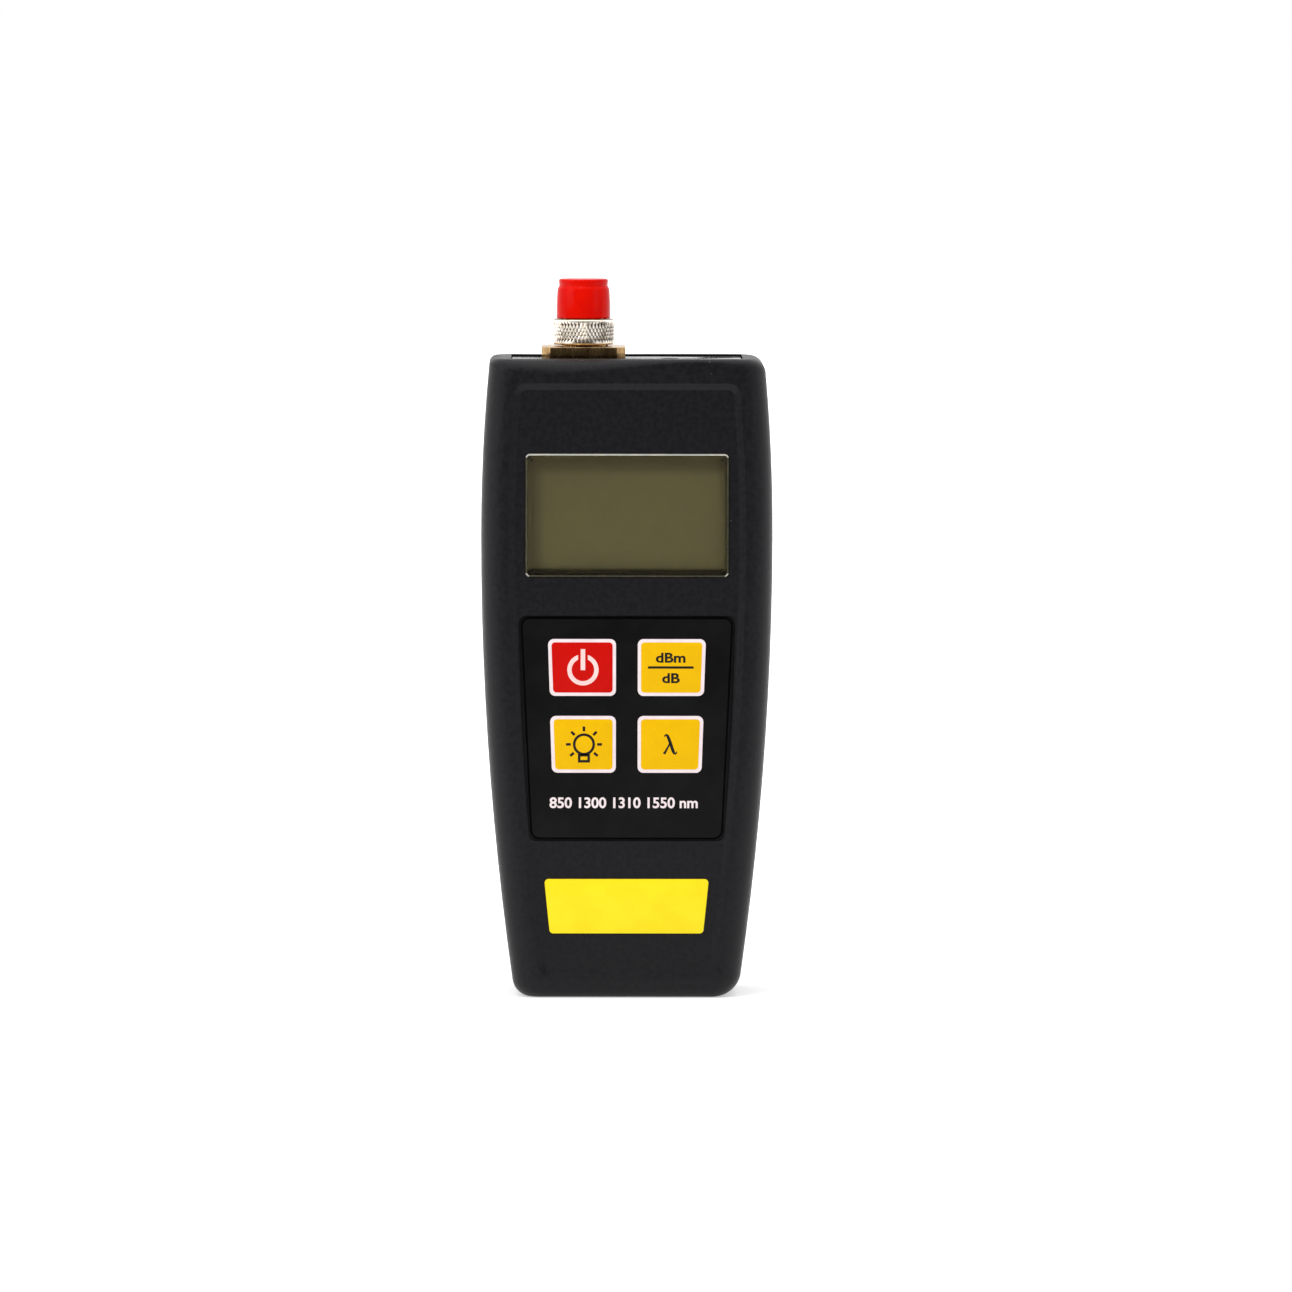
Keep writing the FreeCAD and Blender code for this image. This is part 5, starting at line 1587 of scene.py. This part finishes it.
@dataclass
class BatteryBay:
    """Two cells in their printed sleeves, and the sheet contacts."""

    button_radius: float = 2.75
    button_height: float = 1.3
    button_round: float = 0.25
    # The groove round the button: how much wider it starts, and its depth at both ends.
    groove: Point = (0.5, 0.3, 0.1)
    band: float = 11.0
    bare: Spot = (1.0, 0.1)
    # Distance in from the cell's wall, and height over its foot or its shoulder.
    foot: Sequence[Spot] = ((1.6, 0.25), (1.3, 0.0), (0.9, 0.0), (0.75, 0.12), (0.3, 0.12), (0.0, 0.5))
    collar: Sequence[Spot] = ((0.0, -0.5), (0.35, -0.05), (1.3, -0.1), (1.5, -0.35))

    def build(self) -> None:
        """Build both cells and dress the contacts."""
        for node, upright in (("left_cell", True), ("right_cell", False)):
            self.build_cell(node, upright)
        NICKEL_SHEET.dress("cell_bridge", "positive_contact", "negative_contact")

    def build_cell(self, node: str, upright: bool) -> None:
        """Draw one cell: steel ends, a dark sleeve and a copper-coloured band at the positive end.

        Args:
            node: the CAD cell that it stands for.
            upright: whether the button is at the top.
        """
        low, high = millimetres(node)
        radius = (high.x - low.x) / 2
        axis = ((low.x + high.x) / 2, (low.y + high.y) / 2)
        middle = Vector((*axis, 0)) * MM
        length, button, fillet = high.z - low.z, self.button_radius, self.button_round
        wider, deep, shallow = self.groove
        shoulder = length - self.button_height
        band_foot = shoulder - self.band
        bare_width, bare_foot = self.bare
        sleeve_slot, band_slot, steel_slot = range(3)
        rings = [*((radius - inward, rise) for inward, rise in self.foot), (radius, band_foot),
                 *((radius - inward, shoulder + rise) for inward, rise in self.collar),
                 (button + wider, shoulder - deep), (button, shoulder - shallow),
                 (button, length - fillet), (button - fillet, length)]
        placed = [(r, low.z + z if upright else high.z - z) for r, z in rings]

        def zone(face: bmesh.types.BMFace) -> int:
            """Find what covers a face.

            Args:
                face: the face.

            Returns:
                The slot of the sleeve, the band or the bare steel.
            """
            centre = face.calc_center_median()
            along = centre.z / MM - low.z if upright else high.z - centre.z / MM
            if (centre - middle).xy.length / MM < radius - bare_width or along < bare_foot:
                return steel_slot
            return band_slot if along > band_foot else sleeve_slot

        bench = Bench(f"{node}_can").turn(axis, placed)
        for slot in (band_slot, steel_slot):
            bench.pick(Part.FACES, lambda face: zone(face) == slot).paint(slot)
        piece = bench.close().deliver("root", CELL_WRAP, CELL_BAND, NICKEL_SHEET, smooth=40)
        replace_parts(piece, node)


@dataclass
class Casing:
    """Both shells, the door, the end panel, the name plate and the charging socket."""

    panel_edge: float = 0.3
    plate_edge: float = 0.07
    pin_radius: float = 0.66
    pin_drop: float = 0.9
    pin_reach: float = 6.0
    # The pin's rounded end: share of its radius, and depth under its top.
    pin_end: Sequence[Spot] = ((1.0, 0.3), (0.85, 0.08), (0.5, 0.0))

    def build(self) -> None:
        """Dress the mouldings and break the edges that show."""
        CASE_ABS.dress("front_shell", "rear_shell", "battery_door")
        refine("end_panel", self.panel_edge, PANEL_ABS, segments=3)
        refine("name_label", self.plate_edge, PLATE_YELLOW)
        EPOXY.dress("dc_jack")
        self.build_pin()

    def build_pin(self) -> None:
        """Turn the pin inside the charging socket, which is as far from its back as from its sides."""
        low, high = millimetres("dc_jack")
        half = (high.x - low.x) / 2
        top = high.z - self.pin_drop
        end = [(self.pin_radius * share, top - depth) for share, depth in self.pin_end]
        bench = Bench("charging_pin").turn((low.x + half, high.y - half), [
            (self.pin_radius, high.z - self.pin_reach), *end], sides=32)
        bench.close().deliver("root", NICKEL)


@dataclass
class Electronics:
    """The board and what is soldered to it."""

    def build(self) -> None:
        """Dress the board, its chips and the switches."""
        SOLDER_MASK.dress("main_board")
        EPOXY.dress("microcontroller", "amplifier_chip")
        NICKEL_SHEET.dress("crystal_can")
        for symbol in Symbol:
            EPOXY.dress(f"{symbol.value}_switch")
            WHITE_MOULDING.dress(f"{symbol.value}_plunger")


# ------------------------------------------------------------------ studio

@dataclass(frozen=True)
class Lamp:
    """One soft lamp: where it hangs and its width and height in metres, and its power in watts."""

    name: str
    place: Point
    size: Spot
    power: float

    def hang(self, aim: Point) -> None:
        """Hang the lamp.

        Args:
            aim: where it points, in metres.
        """
        lamp = bpy.data.lights.new(self.name, "AREA")
        lamp.shape = "RECTANGLE"
        lamp.size, lamp.size_y = self.size
        lamp.energy = self.power
        holder = place_object(self.name, lamp)
        holder.location = self.place
        holder.rotation_euler = (Vector(aim) - Vector(self.place)).to_track_quat("-Z", "Y").to_euler()


@dataclass
class Studio:
    """Floor, lamps, surroundings and camera: the camera's lengths in millimetres, the others in metres."""

    target: Point = (3.55, 0.0, 62.5)
    view_width: float = 232.8
    distance: float = 1900.0
    elevation: float = 3.95
    azimuth: float = -0.6
    roll: float = 0.1
    floor_size: float = 8.0
    # Where the floor turns plain white, how much it glows before and after that, where its lit part ends.
    floor_reach: Spot = (0.05, 0.3)
    floor_glow: Spot = (0.42, 1.0)
    table_end: Spot = (-0.4, -0.1)
    # How bright the room is from the front to the back, and how much its ceiling adds.
    room_span: Spot = (-0.6, 0.15)
    room_level: Spot = (0.05, 1.15)
    ceiling_span: Spot = (0.25, 0.9)
    ceiling_level: float = 0.5
    matte_level: float = 0.72
    lamp_aim: Point = (0.0, 0.0, 0.06)
    lamps: Sequence[Lamp] = (
        Lamp("left_softbox", (-0.9, -0.5, 0.55), (0.7, 0.9), 3.6),
        Lamp("top_softbox", (0.0, -0.25, 1.1), (1.0, 1.0), 3.6),
        Lamp("key_light", (-0.3, -0.75, 0.85), (0.12, 0.12), 0.9),
        Lamp("right_softbox", (0.9, -0.6, 0.45), (0.5, 0.8), 1.1))

    def lay_floor(self) -> None:
        """Lay a white floor that keeps the object's shadow and turns plain white away from it.

        What the object mirrors of it turns dark towards the camera, where the lit table ends.
        """
        bpy.ops.object.select_all(action="DESELECT")
        bpy.ops.mesh.primitive_plane_add(size=self.floor_size, location=(0, 0, 0))
        floor = bpy.context.object
        floor.name = "studio_floor"
        material = bpy.data.materials.new("white_paper_floor")
        material.use_nodes = True
        tree = material.node_tree
        tree.nodes.clear()
        paper = add_node(tree, "ShaderNodeBsdfDiffuse", {"Color": linear("#f4f4f4")}).outputs[0]
        place = add_node(tree, "ShaderNodeTexCoord").outputs["Object"]
        away = add_node(tree, "ShaderNodeVectorMath", {0: place}, operation="LENGTH").outputs["Value"]
        lift = scaled(tree, away, *self.floor_reach, *self.floor_glow)
        path = add_node(tree, "ShaderNodeLightPath").outputs
        mirrored = combined(tree, "MAXIMUM", path["Is Glossy Ray"], path["Is Transmission Ray"])
        seen = combined(tree, "MAXIMUM", path["Is Camera Ray"], mirrored)
        glow = glowing(tree, combined(tree, "MULTIPLY", seen, lift))
        lit = add_node(tree, "ShaderNodeAddShader", {0: paper, 1: glow}).outputs[0]
        depth = add_node(tree, "ShaderNodeSeparateXYZ", {0: place}).outputs["Y"]
        unlit = combined(tree, "MULTIPLY", mirrored, scaled(tree, depth, *self.table_end, 1.0, 0.0))
        gloom = glowing(tree, self.room_level[0])
        surface = add_node(tree, "ShaderNodeMixShader", {0: unlit, 1: lit, 2: gloom})
        add_node(tree, "ShaderNodeOutputMaterial", {"Surface": surface.outputs[0]})
        floor.data.materials.append(material)

    def surround(self) -> None:
        """White surroundings where they are seen, with the dark room on the camera's side."""
        world = bpy.data.worlds.new("white_studio")
        bpy.context.scene.world = world
        world.use_nodes = True
        tree = world.node_tree
        tree.nodes.clear()
        path = add_node(tree, "ShaderNodeLightPath").outputs
        direction = add_node(tree, "ShaderNodeTexCoord").outputs["Generated"]
        parts = add_node(tree, "ShaderNodeSeparateXYZ", {0: direction}).outputs
        depth = scaled(tree, parts["Y"], *self.room_span, *self.room_level)
        height = scaled(tree, parts["Z"], *self.ceiling_span, 0.0, self.ceiling_level)
        mirrored = combined(tree, "MAXIMUM", path["Is Glossy Ray"], path["Is Transmission Ray"])
        gloss = combined(tree, "MULTIPLY", combined(tree, "ADD", depth, height), mirrored)
        matte = combined(tree, "MULTIPLY", path["Is Diffuse Ray"], self.matte_level)
        seen = combined(tree, "MAXIMUM", gloss, path["Is Camera Ray"])
        background = add_node(tree, "ShaderNodeBackground", {
            "Color": linear("#ffffff"), "Strength": combined(tree, "MAXIMUM", seen, matte)})
        add_node(tree, "ShaderNodeOutputWorld", {"Surface": background.outputs[0]})

    def set_camera(self) -> None:
        """Set up a long lens a little above the object's middle."""
        camera = bpy.data.cameras.new("camera")
        camera.sensor_width = 36.0
        camera.lens = camera.sensor_width * self.distance / self.view_width
        camera.clip_end = 20.0
        holder = place_object("camera", camera)
        turn, rise = math.radians(self.azimuth), math.radians(self.elevation)
        back = Vector((math.sin(turn) * math.cos(rise), -math.cos(turn) * math.cos(rise), math.sin(rise)))
        holder.location = (Vector(self.target) + back * self.distance) * MM
        holder.rotation_mode = "QUATERNION"
        aim = back.to_track_quat("Z", "Y")
        holder.rotation_quaternion = Quaternion(back, math.radians(self.roll)) @ aim
        bpy.context.scene.camera = holder

    def build(self) -> None:
        """Make the whole studio."""
        bpy.context.scene.view_settings.view_transform = "Standard"
        self.lay_floor()
        for lamp in self.lamps:
            lamp.hang(self.lamp_aim)
        self.surround()
        self.set_camera()


def main() -> None:
    """Build every sub-assembly in order."""
    logging.basicConfig(level=logging.INFO, format="%(name)s: %(message)s")
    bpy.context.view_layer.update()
    for assembly in (Casing(), DisplayWindow(), Keypad(), FibrePort(), BatteryBay(), Fasteners(),
                     Electronics(), Studio()):
        log.info("building %s", type(assembly).__name__)
        assembly.build()


if __name__ == "__main__":
    main()
